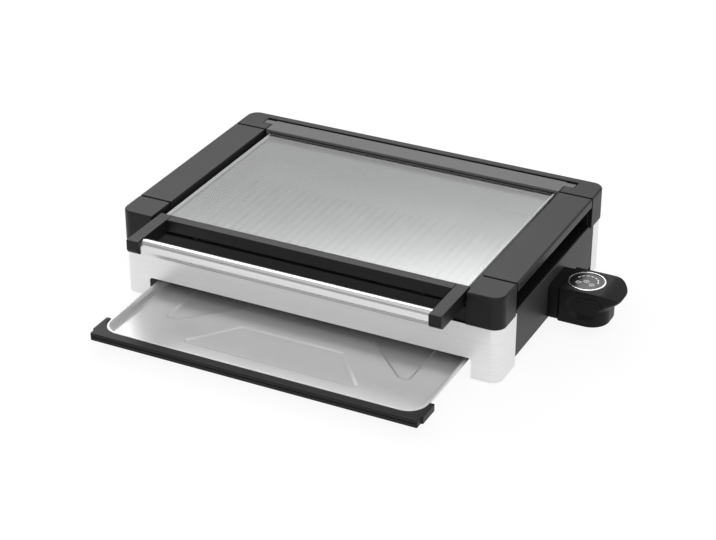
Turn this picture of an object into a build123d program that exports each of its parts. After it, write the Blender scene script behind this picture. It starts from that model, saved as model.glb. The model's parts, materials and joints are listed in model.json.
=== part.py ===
from build123d import *
import math
import os

# Electric table grill: hinged glass lid, pull-out drip tray, plug-in controller
# Millimetres, +Z up, front towards -Y
# Built about the middle of the body, then moved so that the origin is under the whole grill

# Body
body_width = 502.0
body_depth = 330.0
body_height = 113.5
corner_radius = 15.0
foot_height = 2.0
foot_radius = 8.0
foot_inset = 11.0
foot_end_inset = 13.0
frame_height = 41.5
leg_width = 36.3
tray_opening_height = 27.8
opening_corner_radius = 4.0
touch_gap = 0.3
fit_gap = 0.05
seat_gap = 0.2

# Steel skins
skin_inset = 1.5
skin_sheet = 0.8
skin_front_wrap = 50.0
skin_rear_wrap = 32.0

# Side panels
panel_inset = 2.0
panel_wall = 2.5
panel_bottom = 12.5
panel_rise = 3.0

# Moulded housing
wall = 2.5
deck_thickness = 3.0
roof_thickness = 3.0
rib_thickness = 2.5
rib_end_gap = 10.0
column_wall = 3.0
bay_width = 60.0
tray_stop_wall = 21.7
front_beam = 24.7
rear_beam = 50.7
chamber_margin = 11.0
floor_ledge_side = 36.0
floor_ledge_end = 10.0

# Top frame
cap_width = 44.0
cap_wall = 2.5
cap_edge_radius = 2.5
front_cap_depth = 44.0
rear_cap_depth = 45.0
parting_gap = 1.0
fascia_setback = 5.0
fascia_depth = 14.0
fascia_gap = 1.0
fascia_edge_radius = 2.0
small_rib = 2.0
slit_width = 4.0
trough_drop = 18.5
lug_gap = 0.6
bush_seat_wall = 1.5

# Side grips
grip_wall = 3.0
grip_lip_height = 11.5
grip_ribs = 7
grip_step = 5.0
grip_screw_inset = 14.0
grip_screw_end = 15.0
slot_inner = 5.0
slot_floor = 2.0
slot_round = 1.5
ear_reach = 24.0
ear_length = 150.0
ear_thickness = 4.0
ear_drop = 14.5

# Lid
lid_side_gap = 7.0
glass_drop = 4.7
glass_thickness = 4.0
glass_entry = 5.0
gasket_wall = 0.8
rail_setback = 4.0
rail_depth = 14.0
rail_drop = 1.5
rail_height = 15.0
rail_edge_radius = 1.0
bar_depth = 29.0
bar_height = 14.5
bar_end_gap = 1.0
bar_edge_radius = 0.8
bar_skin = 1.6
bar_end_block = 14.0
hinge_inset = 6.0
pin_radius = 2.5
pin_running_gap = 0.08
bush_wall = 1.5
bush_length = 10.0
lug_width = 13.0
pin_seat_depth = 5.5
arm_width = 16.0
arm_end_gap = 3.0
arm_height = 18.5
arm_nose = 13.0
arm_slope = 10.0
tube_radius = 9.5
tube_wall = 1.2
tube_reach = 48.0
tube_drop = 12.5
spigot_length = 12.0
arm_screw_setback = 8.5
arm_screw_bite = 5.4
pad_spacing = 300.0
lid_pad_radius = 4.0

# Grill plate
plate_side_gap = 4.0
plate_front_gap = 3.0
plate_rear_gap = 4.0
plate_rim_drop = 13.5
plate_depth = 18.0
plate_thickness = 5.0
plate_rim = 4.0
plate_draft = 13.0
plate_radius = 22.0
rib_pitch = 11.5
rib_base = 5.0
rib_crest = 2.4
rib_height = 3.0
rib_margin = 16.0
rib_zone = 150.0
drain_length = 36.0
drain_width = 8.0
ear_corner_radius = 8.0

# Heating
element_radius = 3.5
element_gap = 5.5
element_bend = 18.0
element_margin = 24.0
element_step_in = 50.0
terminal_bend = 9.0
terminal_spread = 28.0
bar_strip_width = 12.0
bar_strip_sheet = 1.2
bar_strip_spacing = 190.0
bar_strip_hook = 6.0
reflector_sheet = 0.8
reflector_gap = 3.0
reflector_slope = 12.0
reflector_radius = 12.0
reflector_window_length = 70.0
reflector_window_width = 24.0
terminal_notch = 8.0
bracket_sheet = 1.5
bracket_width = 18.0
bracket_spacing = 150.0
bracket_foot = 14.0
bracket_shelf = 10.0

# Drip tray
tray_length = 301.5
tray_width = 416.0
tray_drawn_out = 138.0
tray_sheet = 0.8
tray_rim_top = 22.3
tray_bead_width = 4.5
tray_bead_height = 2.8
tray_depth = 9.1
tray_corner_radius = 24.5
tray_draft = 3.5
pad_sink = 1.8
pad_slope = 3.0
pad_corner = 5.0
front_pad_long = 238.0
front_pad_short = 136.0
front_pad_outer = 112.0
front_pad_inner = 48.0
side_pad_outer = 162.0
side_pad_inner = 86.0
side_pad_long = 142.0
side_pad_cut = 15.0
side_pad_short = 22.0
strip_front_depth = 12.7
strip_bar_depth = 10.5
strip_top = 22.6
strip_height = 9.6
strip_wall = 2.2
strip_step = 2.5
strip_corner = 2.0
strip_groove = 0.7
strip_overhang = 0.5
strip_wing_length = 41.0
tray_side_gap = 0.6
rail_ledge = 26.5
rail_sheet = 1.5
rail_flange = 13.0
rail_screw_skin = 0.6
rail_end_gap = 2.0
rail_screw_rise = 8.0
rail_screw_end = 22.0
tongue_end_gap = 22.0
tongue_gap = 1.5
rivet_pitch = 100.0
rivet_setback = 5.0
rivet_head_height = 1.2

# Socket and controller
socket_y = 12.5
socket_width = 52.0
socket_depth = 27.0
socket_wall = 3.0
socket_edge_radius = 2.0
socket_lift = 1.0
socket_headroom = 8.2
contact_drop = 1.3
contact_seat = 6.0
contact_setback = 3.0
contact_point = 0.6
plug_tip_gap = 2.0
probe_drop = 3.7
probe_clearance = 1.0
pin_contact_radius = 2.0
sleeve_wall = 0.7
probe_radius = 2.5
probe_reach = 83.0
control_bottom = 15.0
control_width = 60.0
control_length = 72.8
control_cap_height = 14.0
control_neck_length = 12.7
neck_step = 2.5
neck_inset = 1.0
neck_edge_radius = 3.0
plug_edge_radius = 1.2
sleeve_seat = 2.0
probe_seat_wall = 4.5
cavity_setback = 14.0
cavity_corner = 3.0
control_screw_inset = 4.0
control_screw_spread = 34.0
control_nose_radius = 24.0
control_heel_radius = 3.0
control_undercut = 14.5
control_waist = 19.0
control_edge_radius = 3.0
control_foot_radius = 1.5
nose_lip = 10.0
nose_slope = 22.8
nose_sections = 4
grip_recess_depth = 4.0
grip_recess_length = 52.0
grip_recess_margin = 6.0
grip_recess_lift = 2.0
grip_recess_slope = 6.0
display_radius = 23.0
display_ring_width = 1.8
display_offset = 25.0
display_seat = 2.2
ring_rise = 0.4
board_thickness = 1.6
board_drop = 8.0
board_gap = 1.5
post_radius = 2.5
post_wall = 2.0
module_height = 5.0
gland_radius = 5.0
gland_bore = 3.3
gland_length = 7.0
gland_rise = 12.0

# Screws
screw_radius = 1.5
screw_head_radius = 3.0
screw_head_height = 1.8
tie_radius = 2.0
tie_head_radius = 4.0
tie_head_height = 2.6
boss_wall = 2.5
tie_inset = 13.0
tie_front_setback = 9.0
tie_rear_setback = 12.0
tie_sink = 0.6
tie_column_drop = 12.0
grip_screw_bite = 8.0

# Worked out from the sizes above
half_width = body_width / 2
half_depth = body_depth / 2
deck_top = body_height - frame_height
bay_half = half_width - leg_width
skin_face = half_depth - skin_inset
housing_inset = skin_inset + skin_sheet
panel_face = half_width - panel_inset
panel_back = panel_face - panel_wall
panel_front_end = -half_depth + skin_front_wrap
panel_rear_end = half_depth - skin_rear_wrap
panel_top = deck_top + panel_rise
opening_half = half_width - cap_width
front_parting = -half_depth + front_cap_depth
rear_parting = half_depth - rear_cap_depth
chamber_half = opening_half - chamber_margin
housing_front = -half_depth + housing_inset
housing_rear = half_depth - housing_inset
chamber_front = housing_front + front_beam
chamber_rear = housing_rear - rear_beam
chamber_floor = tray_opening_height + roof_thickness
bay_rear = housing_rear - tray_stop_wall

rail_front = -half_depth + rail_setback
rail_back = rail_front + rail_depth
rail_top = body_height - rail_drop
rail_bottom = rail_top - rail_height
bar_front = rear_parting
bar_back = bar_front + bar_depth
bar_half = opening_half - bar_end_gap
bar_bottom = body_height - bar_height
hinge_y = bar_back - hinge_inset
hinge_z = body_height - hinge_inset
glass_top = body_height - glass_drop
glass_bottom = glass_top - glass_thickness
glass_half = opening_half - lid_side_gap
arm_outer = opening_half - arm_end_gap
arm_inner = arm_outer - arm_width
arm_bottom = rail_top - arm_height
tube_y = -half_depth - tube_reach
tube_z = body_height - tube_drop
slit_wall = bar_back + slit_width
trough_floor = body_height - trough_drop
fascia_top = arm_bottom - fascia_gap
fascia_front = -half_depth + fascia_setback
fascia_back = fascia_front + fascia_depth

plate_half = opening_half - plate_side_gap
plate_front = rail_back + plate_front_gap
plate_rear = bar_front - plate_rear_gap
plate_rim_top = body_height - plate_rim_drop
plate_floor = plate_rim_top - plate_depth
plate_bottom = plate_floor - plate_thickness
plate_middle = (plate_front + plate_rear) / 2
ear_top = body_height - ear_drop
ear_bottom = ear_top - ear_thickness

element_z = plate_bottom - element_gap - element_radius
socket_back = bay_half + wall
socket_bottom = chamber_floor + socket_lift
socket_top = deck_top - deck_thickness - socket_headroom
plug_half = socket_width / 2 - socket_wall - touch_gap
plug_bottom = socket_bottom + socket_wall + touch_gap
plug_top = socket_top - socket_wall - touch_gap
contact_z = (socket_bottom + socket_top) / 2 - contact_drop
probe_z = plug_top - probe_drop
plug_tip = socket_back + socket_depth / 2 - plug_tip_gap

tray_half = tray_width / 2
tray_front_face = -skin_face - strip_overhang
tray_rear_edge = tray_front_face + tray_length
bead_front = tray_front_face + strip_front_depth
tray_middle = (bead_front + tray_rear_edge) / 2
bead_length = tray_rear_edge - bead_front
tray_floor = tray_rim_top - tray_depth
strip_bottom = strip_top - strip_height
ledge_top = tray_floor - tray_sheet - touch_gap
bead_bottom = tray_rim_top - tray_bead_height
lug_reach = bar_half + lug_width

control_start = panel_face + touch_gap
control_shell_start = control_start + control_neck_length
control_end = control_shell_start + control_length
cavity_near = control_shell_start + 2 * wall
cavity_far = control_end - control_undercut - cavity_setback
control_top = plug_top + neck_step
control_split = control_top - control_cap_height
display_x = control_shell_start + display_offset
board_z = control_split - board_drop

whole_left = -half_width
whole_front = tray_front_face - tray_drawn_out
frame_shift = Vector(-(whole_left + control_end) / 2, -(whole_front + half_depth) / 2, 0)

LEFT = -1
RIGHT = 1


def block(x0, x1, y0, y1, z0, z1):
    """Box between two opposite corners."""
    return Pos((x0 + x1) / 2, (y0 + y1) / 2, (z0 + z1) / 2) * Box(abs(x1 - x0), abs(y1 - y0), abs(z1 - z0))


def side_block(side, near, far, y0, y1, z0, z1):
    """Box on one side of the grill, measured outwards from the middle."""
    return block(side * near, side * far, y0, y1, z0, z1)


def upright(x, y, z0, z1, radius):
    """Round post along Z."""
    return Pos(x, y, (z0 + z1) / 2) * Cylinder(radius, z1 - z0)


def crosswise(x0, x1, y, z, radius):
    """Round bar along X."""
    return Pos((x0 + x1) / 2, y, z) * Rot(0, 90, 0) * Cylinder(radius, abs(x1 - x0))


def slab(inset, z0, z1):
    """The rounded outline of the body, drawn in by an inset."""
    outline = RectangleRounded(body_width - 2 * inset, body_depth - 2 * inset, corner_radius - inset)
    return Pos(0, 0, z0) * extrude(outline, z1 - z0)


def rounded_box(x0, x1, y0, y1, z0, z1, radius):
    """Box with rounded upright corners."""
    outline = Pos((x0 + x1) / 2, (y0 + y1) / 2, z0) * RectangleRounded(x1 - x0, y1 - y0, radius)
    return extrude(outline, z1 - z0)


def bowl(x_half, y0, y1, z_top, z_bottom, radius, inset):
    """Block that narrows downwards by an inset, as the inside or outside of a pressed pan."""
    middle = (y0 + y1) / 2
    top = Pos(0, middle, z_top) * RectangleRounded(2 * x_half, y1 - y0, radius)
    low_radius = max(radius - inset, 2.0)
    low = Pos(0, middle, z_bottom) * RectangleRounded(2 * (x_half - inset), y1 - y0 - 2 * inset, low_radius)
    return loft([low, top], ruled=True)


def cap_screw(x, y, z_head, z_tip, radius, head_radius, head_height):
    """Upright screw with its flat head below at the first height and its tip at the second."""
    head = upright(x, y, z_head, z_head + head_height, head_radius)
    return head + upright(x, y, z_head, z_tip, radius)


def four(x, y_front, y_rear):
    """The four places that mirror each other about the middle."""
    return [(side * x, y) for side in (LEFT, RIGHT) for y in (y_front, y_rear)]


# Places shared by several pieces
tie_front_y = front_parting - tie_front_setback
tie_rear_y = panel_rear_end + tie_rear_setback
tie_places = four(half_width - tie_inset, tie_front_y, tie_rear_y)
foot_places = four(bay_half + foot_inset, -half_depth + foot_end_inset, half_depth - foot_end_inset)
tie_head_z = foot_height + tie_sink
tie_column_top = deck_top - tie_column_drop
tie_tip = deck_top + grip_screw_bite
grip_screw_y = (-ear_length / 2 + grip_screw_end, ear_length / 2 - grip_screw_end)
grip_screw_x = opening_half + grip_screw_inset
rail_screw_y = (panel_front_end + rail_screw_end, socket_y - socket_width, panel_rear_end - rail_screw_end)
rail_screw_z = ledge_top + rail_screw_rise
tongue_half = tray_half - tongue_end_gap
rivet_places = [turn * rivet_pitch for turn in (-1.5, -0.5, 0.5, 1.5)]
rivet_y = tray_front_face + strip_wall + rivet_setback
control_screw_places = [
    (cavity_near + control_screw_inset, socket_y - control_screw_spread / 2),
    (cavity_near + control_screw_inset, socket_y + control_screw_spread / 2),
    (cavity_far - control_screw_inset, socket_y),
]
arm_screw_x = arm_inner + arm_width / 2
arm_screw_y = rail_front + arm_screw_setback
sleeve_radius = pin_contact_radius + touch_gap + sleeve_wall
probe_seat = control_shell_start - probe_seat_wall
plug_pins_y = (socket_y - terminal_spread / 2, socket_y + terminal_spread / 2)


def side_ribs(side, low, high):
    """Cross ribs at an even pitch on both sides of the socket, clear of a pocket's ends."""
    pitch = bay_width + rib_thickness
    count = int(body_depth // pitch) + 1
    ribs = []
    for turn in range(-count, count):
        y0 = socket_y + (turn + 0.5) * pitch - rib_thickness / 2
        y1 = y0 + rib_thickness
        if low + rib_end_gap < y0 < high - rib_end_gap:
            ribs.append(side_block(side, chamber_half, panel_back, y0, y1, tray_opening_height, deck_top))
    return ribs


def make_corner_legs():
    """Four hollow corner posts, each with a floor for its foot and a column for its tie screw."""
    outline = slab(housing_inset, foot_height, deck_top)
    inner = slab(housing_inset + wall, foot_height + deck_thickness, deck_top + 1)
    legs = []
    for x, y in tie_places:
        side = LEFT if x < 0 else RIGHT
        inner_end, outer_end = (panel_front_end, -half_depth) if y < 0 else (panel_rear_end, half_depth)
        end_wall = inner_end - wall if y < 0 else inner_end + wall
        leg = outline & side_block(side, bay_half, half_width, inner_end, outer_end, 0, deck_top)
        leg -= inner & side_block(side, socket_back, half_width, end_wall, outer_end, 0, deck_top + 1)
        leg += upright(x, y, foot_height, tie_column_top, tie_radius + column_wall)
        leg -= upright(x, y, 0, tie_column_top + 1, tie_radius + seat_gap)
        leg -= upright(x, y, 0, tie_head_z + tie_head_height, tie_head_radius + seat_gap)
        legs.append(leg)
    return legs


def make_side_beam(side):
    """Ribbed channel between two legs, with holes for its tray rail and a window for the socket."""
    y0 = panel_front_end + wall
    y1 = panel_rear_end - wall
    beam = side_block(side, bay_half, panel_back, panel_front_end, panel_rear_end, panel_bottom, deck_top)
    pocket = side_block(side, socket_back, panel_back - wall, y0, y1, 0, deck_top - deck_thickness)
    for rib in side_ribs(side, y0, y1):
        pocket -= rib
    beam -= pocket
    for y in rail_screw_y:
        beam -= crosswise(side * (bay_half + rail_screw_skin), side * (socket_back + 1), y, rail_screw_z,
                          screw_radius + fit_gap)
    if side == RIGHT:
        beam -= block(socket_back, half_width, socket_y - socket_width / 2, socket_y + socket_width / 2,
                      socket_bottom, socket_top)
        beam -= terminal_holes()
    return beam


def terminal_holes():
    """Holes that the heater's ends and the probe pass through."""
    holes = crosswise(chamber_half - 1, socket_back + 1, socket_y, probe_z, probe_radius + probe_clearance)
    for y in plug_pins_y:
        holes += crosswise(chamber_half - 1, socket_back + 1, y, contact_z, element_radius + touch_gap)
    return holes


def make_chamber_side(side):
    """Ribbed side wall of the heating chamber, with a ledge that carries the reflector pan."""
    y0 = chamber_front + wall
    y1 = chamber_rear - wall
    span = (chamber_front, chamber_rear)
    body = side_block(side, chamber_half, bay_half, *span, tray_opening_height, deck_top)
    pocket = side_block(side, chamber_half + wall, bay_half, y0, y1, 0, deck_top - deck_thickness)
    for rib in side_ribs(side, y0, y1):
        pocket -= rib
    body -= pocket
    ledge_near = chamber_half - floor_ledge_side
    body += side_block(side, ledge_near, chamber_half + wall, *span, tray_opening_height, chamber_floor)
    if side == RIGHT:
        body -= terminal_holes()
    return body


def bay_places(reach):
    """Places at an even pitch from the middle out to a reach."""
    count = int(reach // bay_width)
    return [turn * bay_width for turn in range(-count, count + 1)]


def beam_pocket(y0, y1):
    """Pockets moulded up into a front or rear beam, parted by cross ribs."""
    pocket = block(-bay_half + wall, bay_half - wall, y0, y1, 0, deck_top - deck_thickness)
    for x in bay_places(bay_half - wall - rib_end_gap):
        pocket -= block(x - rib_thickness / 2, x + rib_thickness / 2, y0 - 1, y1 + 1, 0, deck_top)
    return pocket


def end_ledge(y0, y1):
    """Ledge along one end of the heating chamber."""
    reach = chamber_half - floor_ledge_side
    return block(-reach, reach, y0, y1, tray_opening_height, chamber_floor)


def make_front_beam():
    """Hollow beam over the tray's mouth."""
    beam = block(-bay_half, bay_half, housing_front, chamber_front, tray_opening_height, deck_top)
    beam -= beam_pocket(housing_front + wall, chamber_front - wall)
    return beam + end_ledge(chamber_front - wall, chamber_front + floor_ledge_end)


def make_rear_beam():
    """Hollow beam behind the heating chamber, in two rows of pockets."""
    beam = block(-bay_half, bay_half, chamber_rear, housing_rear, tray_opening_height, deck_top)
    beam -= beam_pocket(chamber_rear + wall, bay_rear - wall)
    beam -= beam_pocket(bay_rear + wall, housing_rear - wall)
    return beam + end_ledge(chamber_rear - floor_ledge_end, chamber_rear + wall)


def make_tray_stop():
    """Hollow wall under the rear beam that stops the tray."""
    stop = block(-bay_half, bay_half, bay_rear, housing_rear, panel_bottom, tray_opening_height)
    return stop - beam_pocket(bay_rear + wall, housing_rear - wall)


def make_skin(y_side):
    """Bent steel skin that wraps the two corners of one end."""
    sheet = slab(skin_inset, foot_height, deck_top) - slab(housing_inset, 0, deck_top + 1)
    if y_side < 0:
        sheet &= block(-half_width, half_width, -half_depth, panel_front_end, 0, deck_top)
        cut_top = tray_opening_height
    else:
        sheet &= block(-half_width, half_width, panel_rear_end, half_depth, 0, deck_top)
        cut_top = panel_bottom
    opening = Plane.XZ * RectangleRounded(2 * bay_half, 2 * cut_top, opening_corner_radius)
    cutter = extrude(opening, body_depth, both=True)
    inner_face = y_side * (half_depth - corner_radius)
    reach = block(-bay_half - 1, bay_half + 1, inner_face, y_side * half_depth, 0, cut_top)
    return sheet - (cutter & reach)


def make_side_panel(side):
    """Plain side cover between the steel skins, with a window on the socket side."""
    span = (panel_front_end, panel_rear_end)
    panel = side_block(side, panel_back, panel_face, *span, panel_bottom, panel_top)
    outer_top = panel.edges().filter_by(Axis.Y).group_by(Axis.Z)[-1].sort_by(Axis.X)
    edge = outer_top[-1] if side == RIGHT else outer_top[0]
    panel = fillet(edge, panel_wall * 0.4)
    panel -= side_block(side, panel_back - 1, half_width, rear_parting, panel_rear_end + 1, deck_top,
                        panel_top + 1)
    if side == RIGHT:
        half = socket_width / 2 - socket_wall
        opening = rounded_box(socket_y - half, socket_y + half, socket_bottom + socket_wall,
                              socket_top - socket_wall, 0, panel_wall + 2, socket_edge_radius)
        panel -= Plane.YZ.offset(panel_back - 1) * opening
    return panel


def frame_blank(z_low):
    """Top frame before it is divided, with its rounded top edge."""
    blank = slab(0, z_low, body_height)
    return fillet(blank.edges().group_by(Axis.Z)[-1], cap_edge_radius)


def make_front_frame():
    """Two hollow corner caps joined by the fascia under the lid's front rail."""
    cap_end = front_parting - parting_gap / 2
    caps = frame_blank(deck_top)
    caps &= block(-half_width, half_width, -half_depth, cap_end, deck_top, body_height)
    caps -= block(-opening_half, opening_half, -half_depth - 1, half_depth, deck_top - 1, body_height + 1)
    hollow = slab(cap_wall, deck_top - 1, body_height - cap_wall)
    hollow_end = cap_end - cap_wall
    for side in (LEFT, RIGHT):
        caps -= hollow & side_block(side, opening_half + cap_wall, half_width, -half_depth, hollow_end,
                                    deck_top - 1, body_height)
    fascia = block(-opening_half - cap_wall / 2, opening_half + cap_wall / 2, fascia_front, fascia_back,
                   deck_top, fascia_top)
    top_edge = fascia.edges().filter_by(Axis.X).group_by(Axis.Z)[-1].sort_by(Axis.Y)[0]
    fascia = fillet(top_edge, fascia_edge_radius)
    fascia -= block(-opening_half + cap_wall, opening_half - cap_wall, fascia_front + cap_wall,
                    fascia_back - cap_wall, deck_top - 1, fascia_top - cap_wall)
    for x in bay_places(opening_half - rib_end_gap):
        fascia += block(x - small_rib / 2, x + small_rib / 2, fascia_front + 1, fascia_back - 1, deck_top,
                        fascia_top - 1)
    frame = caps + fascia
    for x, y in tie_places:
        if y < 0:
            frame += tie_boss(x, y)
            frame -= upright(x, y, tie_column_top - 1, tie_tip + 2, tie_radius + fit_gap)
    return frame


def tie_boss(x, y):
    """Boss that hangs from a corner cap onto the screw column of the leg."""
    return upright(x, y, tie_column_top + seat_gap, body_height - cap_wall / 2, tie_radius + boss_wall)


def make_rear_frame():
    """Rear caps and strip with the trough and pockets that the lid's hinge turns in."""
    cap_start = rear_parting + parting_gap / 2
    blank = frame_blank(deck_top)
    blank &= block(-half_width, half_width, cap_start, half_depth, deck_top, body_height)
    hollow = slab(cap_wall, deck_top - 1, body_height - cap_wall)
    hollow &= block(-half_width, half_width, cap_start + cap_wall, half_depth, deck_top - 1, body_height)
    lug_far = lug_reach + lug_gap
    lug_front = hinge_y - hinge_inset - lug_gap
    # The lug's square upper corners swing below the axis when the lid opens
    lug_swing = hinge_inset * 2 ** 0.5 + lug_gap
    hollow -= block(-opening_half - cap_wall, opening_half + cap_wall, 0, slit_wall + cap_wall,
                    trough_floor - cap_wall, body_height)
    seat = bush_radius() + bush_seat_wall
    for side in (LEFT, RIGHT):
        hollow -= side_block(side, opening_half, lug_far + cap_wall, lug_front - cap_wall,
                             slit_wall + cap_wall, hinge_z - lug_swing - cap_wall, body_height)
        hollow -= side_block(side, lug_far, lug_far + bush_length + 1, hinge_y - seat, hinge_y + seat,
                             hinge_z - seat, body_height)
    frame = blank - hollow
    frame -= block(-opening_half, opening_half, 0, slit_wall, trough_floor, body_height + 1)
    for side in (LEFT, RIGHT):
        frame -= side_block(side, opening_half - 1, lug_far, lug_front, slit_wall,
                            hinge_z - lug_swing, body_height + 1)
        bore_far = side * (lug_far + bush_length)
        frame -= crosswise(side * (lug_far - 1), bore_far, hinge_y, hinge_z, bush_radius() + fit_gap)
    for x, y in tie_places:
        if y > 0:
            frame += tie_boss(x, y)
            frame -= upright(x, y, tie_column_top - 1, tie_tip + 2, tie_radius + fit_gap)
    return frame


def bush_radius():
    """Outer radius of a hinge bush."""
    return pin_radius + pin_running_gap + bush_wall


def make_hinge_bushes():
    """Bearing sleeves for the two hinge pins."""
    near = lug_reach + lug_gap
    bushes = []
    for side in (LEFT, RIGHT):
        sleeve = crosswise(side * near, side * (near + bush_length), hinge_y, hinge_z, bush_radius())
        sleeve -= crosswise(side * (near - 1), side * (near + bush_length + 1), hinge_y, hinge_z,
                            pin_radius + pin_running_gap)
        bushes.append(sleeve)
    return bushes


def make_slot_liner(side):
    """Trough that lines a hand slot under its side grip."""
    near = opening_half + slot_inner
    y0 = panel_front_end + touch_gap
    y1 = rear_parting
    liner = side_block(side, near, panel_back, y0, y1, deck_top, ear_bottom - 1.0)
    hollow = side_block(side, near + wall, panel_back + 1, y0 + wall, y1 - wall, deck_top + slot_floor,
                        ear_bottom + 1)
    corners = hollow.edges().filter_by(Axis.Y).group_by(Axis.Z)[0].sort_by(Axis.X)
    return liner - fillet(corners[0 if side == RIGHT else -1], slot_round)


def make_plate_grip(side):
    """Long hollow grip with a finger lip, ribs and screw bosses."""
    y0 = front_parting + parting_gap / 2
    y1 = rear_parting - parting_gap / 2
    grip = frame_blank(ear_top) & side_block(side, opening_half, half_width, y0, y1, ear_top, body_height)
    lip_bottom = body_height - grip_lip_height
    step_near = opening_half + ear_reach + grip_step
    grip -= side_block(side, step_near, half_width + 1, y0 - 1, y1 + 1, 0, lip_bottom)
    inner_top = body_height - grip_wall
    grip -= side_block(side, opening_half + grip_wall, half_width - grip_wall, y0 + grip_wall,
                       y1 - grip_wall, 0, inner_top)
    pitch = (y1 - y0) / (grip_ribs + 1)
    for turn in range(grip_ribs):
        rib_start = y0 + (turn + 1) * pitch - small_rib / 2
        grip += side_block(side, opening_half + 1, half_width - 1, rib_start, rib_start + small_rib,
                           lip_bottom + small_rib, inner_top + 1)
    for y in grip_screw_y:
        grip += upright(side * grip_screw_x, y, ear_top, inner_top + 1, screw_radius + boss_wall)
        grip -= upright(side * grip_screw_x, y, ear_top - 1, inner_top - 1, screw_radius + fit_gap)
    return grip


def make_grip_screws():
    """Screws from below through the plate's ears into the grips."""
    screws = []
    for side in (LEFT, RIGHT):
        for y in grip_screw_y:
            head = ear_bottom - screw_head_height
            screws.append(cap_screw(side * grip_screw_x, y, head, ear_top + grip_screw_bite, screw_radius,
                                    screw_head_radius, screw_head_height))
    return screws


def make_grill_plate():
    """Cast cooking plate with a sloped rim, front to back ribs, a drain slot and two ears."""
    draft = plate_draft
    outer = bowl(plate_half, plate_front, plate_rear, plate_rim_top, plate_bottom, plate_radius, draft)
    inner_draft = draft * plate_depth / (plate_rim_top - plate_bottom)
    inner = bowl(plate_half - plate_rim, plate_front + plate_rim, plate_rear - plate_rim, plate_rim_top,
                 plate_floor, plate_radius - plate_rim, inner_draft)
    plate = outer - inner
    rim_edges = plate.edges().group_by(Axis.Z)[-1]
    plate = fillet(rim_edges, plate_rim * 0.35)
    for side in (LEFT, RIGHT):
        ear = side_block(side, plate_half - plate_rim, opening_half + ear_reach, -ear_length / 2,
                         ear_length / 2, ear_bottom, ear_top)
        corners = ear.edges().filter_by(Axis.Z).sort_by(Axis.X)
        ear = fillet(corners[-2:] if side == RIGHT else corners[:2], ear_corner_radius)
        plate += ear - inner
        for y in grip_screw_y:
            plate -= upright(side * grip_screw_x, y, ear_bottom - 1, ear_top + 1, screw_radius + fit_gap)
    # Ribs stand on the floor and leave a gutter in front
    usable = 2 * (plate_half - plate_rim - inner_draft - rib_base)
    count = int(usable // rib_pitch)
    gutter = plate_front + plate_rim + inner_draft + rib_margin
    for turn in range(count):
        x = (turn - (count - 1) / 2) * rib_pitch
        plate += plate_rib(x, gutter, gutter + rib_zone)
    drain_y = gutter - rib_margin / 2
    slot = extrude(SlotOverall(drain_length, drain_width), plate_thickness + 2)
    return plate - Pos(0, drain_y, plate_bottom - 1) * slot


def plate_rib(x, y0, y1):
    """One rib with sloped flanks and ends, running front to back."""
    base = Pos(x, (y0 + y1) / 2, plate_floor - 0.5) * Rectangle(rib_base + 0.4, y1 - y0 + 0.4)
    crest = Pos(x, (y0 + y1) / 2, plate_floor + rib_height) * Rectangle(rib_crest, y1 - y0 - 6.0)
    return loft([base, crest], ruled=True)


def make_plate_supports():
    """Four bent brackets on the housing deck that carry the cooking plate."""
    brackets = []
    for side in (LEFT, RIGHT):
        for y in (plate_middle - bracket_spacing / 2, plate_middle + bracket_spacing / 2):
            y0 = y - bracket_width / 2
            y1 = y + bracket_width / 2
            riser_near = chamber_half - bracket_sheet
            shelf_near = plate_half - plate_draft - bracket_shelf
            bracket = side_block(side, riser_near, chamber_half + bracket_foot, y0, y1, deck_top,
                                 deck_top + bracket_sheet)
            bracket += side_block(side, riser_near, chamber_half, y0, y1, deck_top, plate_bottom)
            bracket += side_block(side, shelf_near, chamber_half, y0, y1, plate_bottom - bracket_sheet,
                                  plate_bottom)
            brackets.append(bracket)
    return brackets


def make_heating_element():
    """Bent tubular heater that sweeps four times across the chamber and turns down to its terminals."""
    reach = plate_half - plate_draft - element_margin
    y0 = plate_front + plate_draft + element_margin
    y3 = plate_rear - plate_draft - element_margin
    step = (y3 - y0) / 3
    low_y, high_y = plug_pins_y
    inner_reach = reach - element_step_in
    end_x = socket_back + contact_seat
    points = [
        (end_x, low_y, contact_z),
        (reach, low_y, contact_z),
        (reach, low_y, element_z),
        (reach, y0, element_z),
        (-reach, y0, element_z),
        (-reach, y0 + step, element_z),
        (inner_reach, y0 + step, element_z),
        (inner_reach, y0 + 2 * step, element_z),
        (-reach, y0 + 2 * step, element_z),
        (-reach, y3, element_z),
        (reach, y3, element_z),
        (reach, high_y, element_z),
        (reach, high_y, contact_z),
        (end_x, high_y, contact_z),
    ]
    # The drop to the terminals has to hold both of its bends
    drop_bend = min(terminal_bend, (element_z - contact_z) * 0.45)
    ends = [drop_bend, drop_bend]
    path = FilletPolyline(*points, radius=ends + [element_bend] * 8 + ends)
    start = Plane(origin=points[0], z_dir=(-1, 0, 0))
    return sweep(start * Circle(element_radius), path=path)


def make_element_bars():
    """Two hanging strips that the heater lies on."""
    strips = []
    top = element_z - element_radius - seat_gap
    low = top - bar_strip_sheet
    hook_top = deck_top + bar_strip_sheet
    for x in (-bar_strip_spacing / 2, bar_strip_spacing / 2):
        x0 = x - bar_strip_width / 2
        x1 = x + bar_strip_width / 2
        strip = block(x0, x1, chamber_front + seat_gap, chamber_rear - seat_gap, low, top)
        for y_wall, way in ((chamber_front, 1), (chamber_rear, -1)):
            near = y_wall + way * seat_gap
            far = near + way * bar_strip_sheet
            strip += block(x0, x1, near, far, low, hook_top)
            strip += block(x0, x1, y_wall - way * bar_strip_hook, far, deck_top, hook_top)
        strips.append(strip)
    return strips


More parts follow.
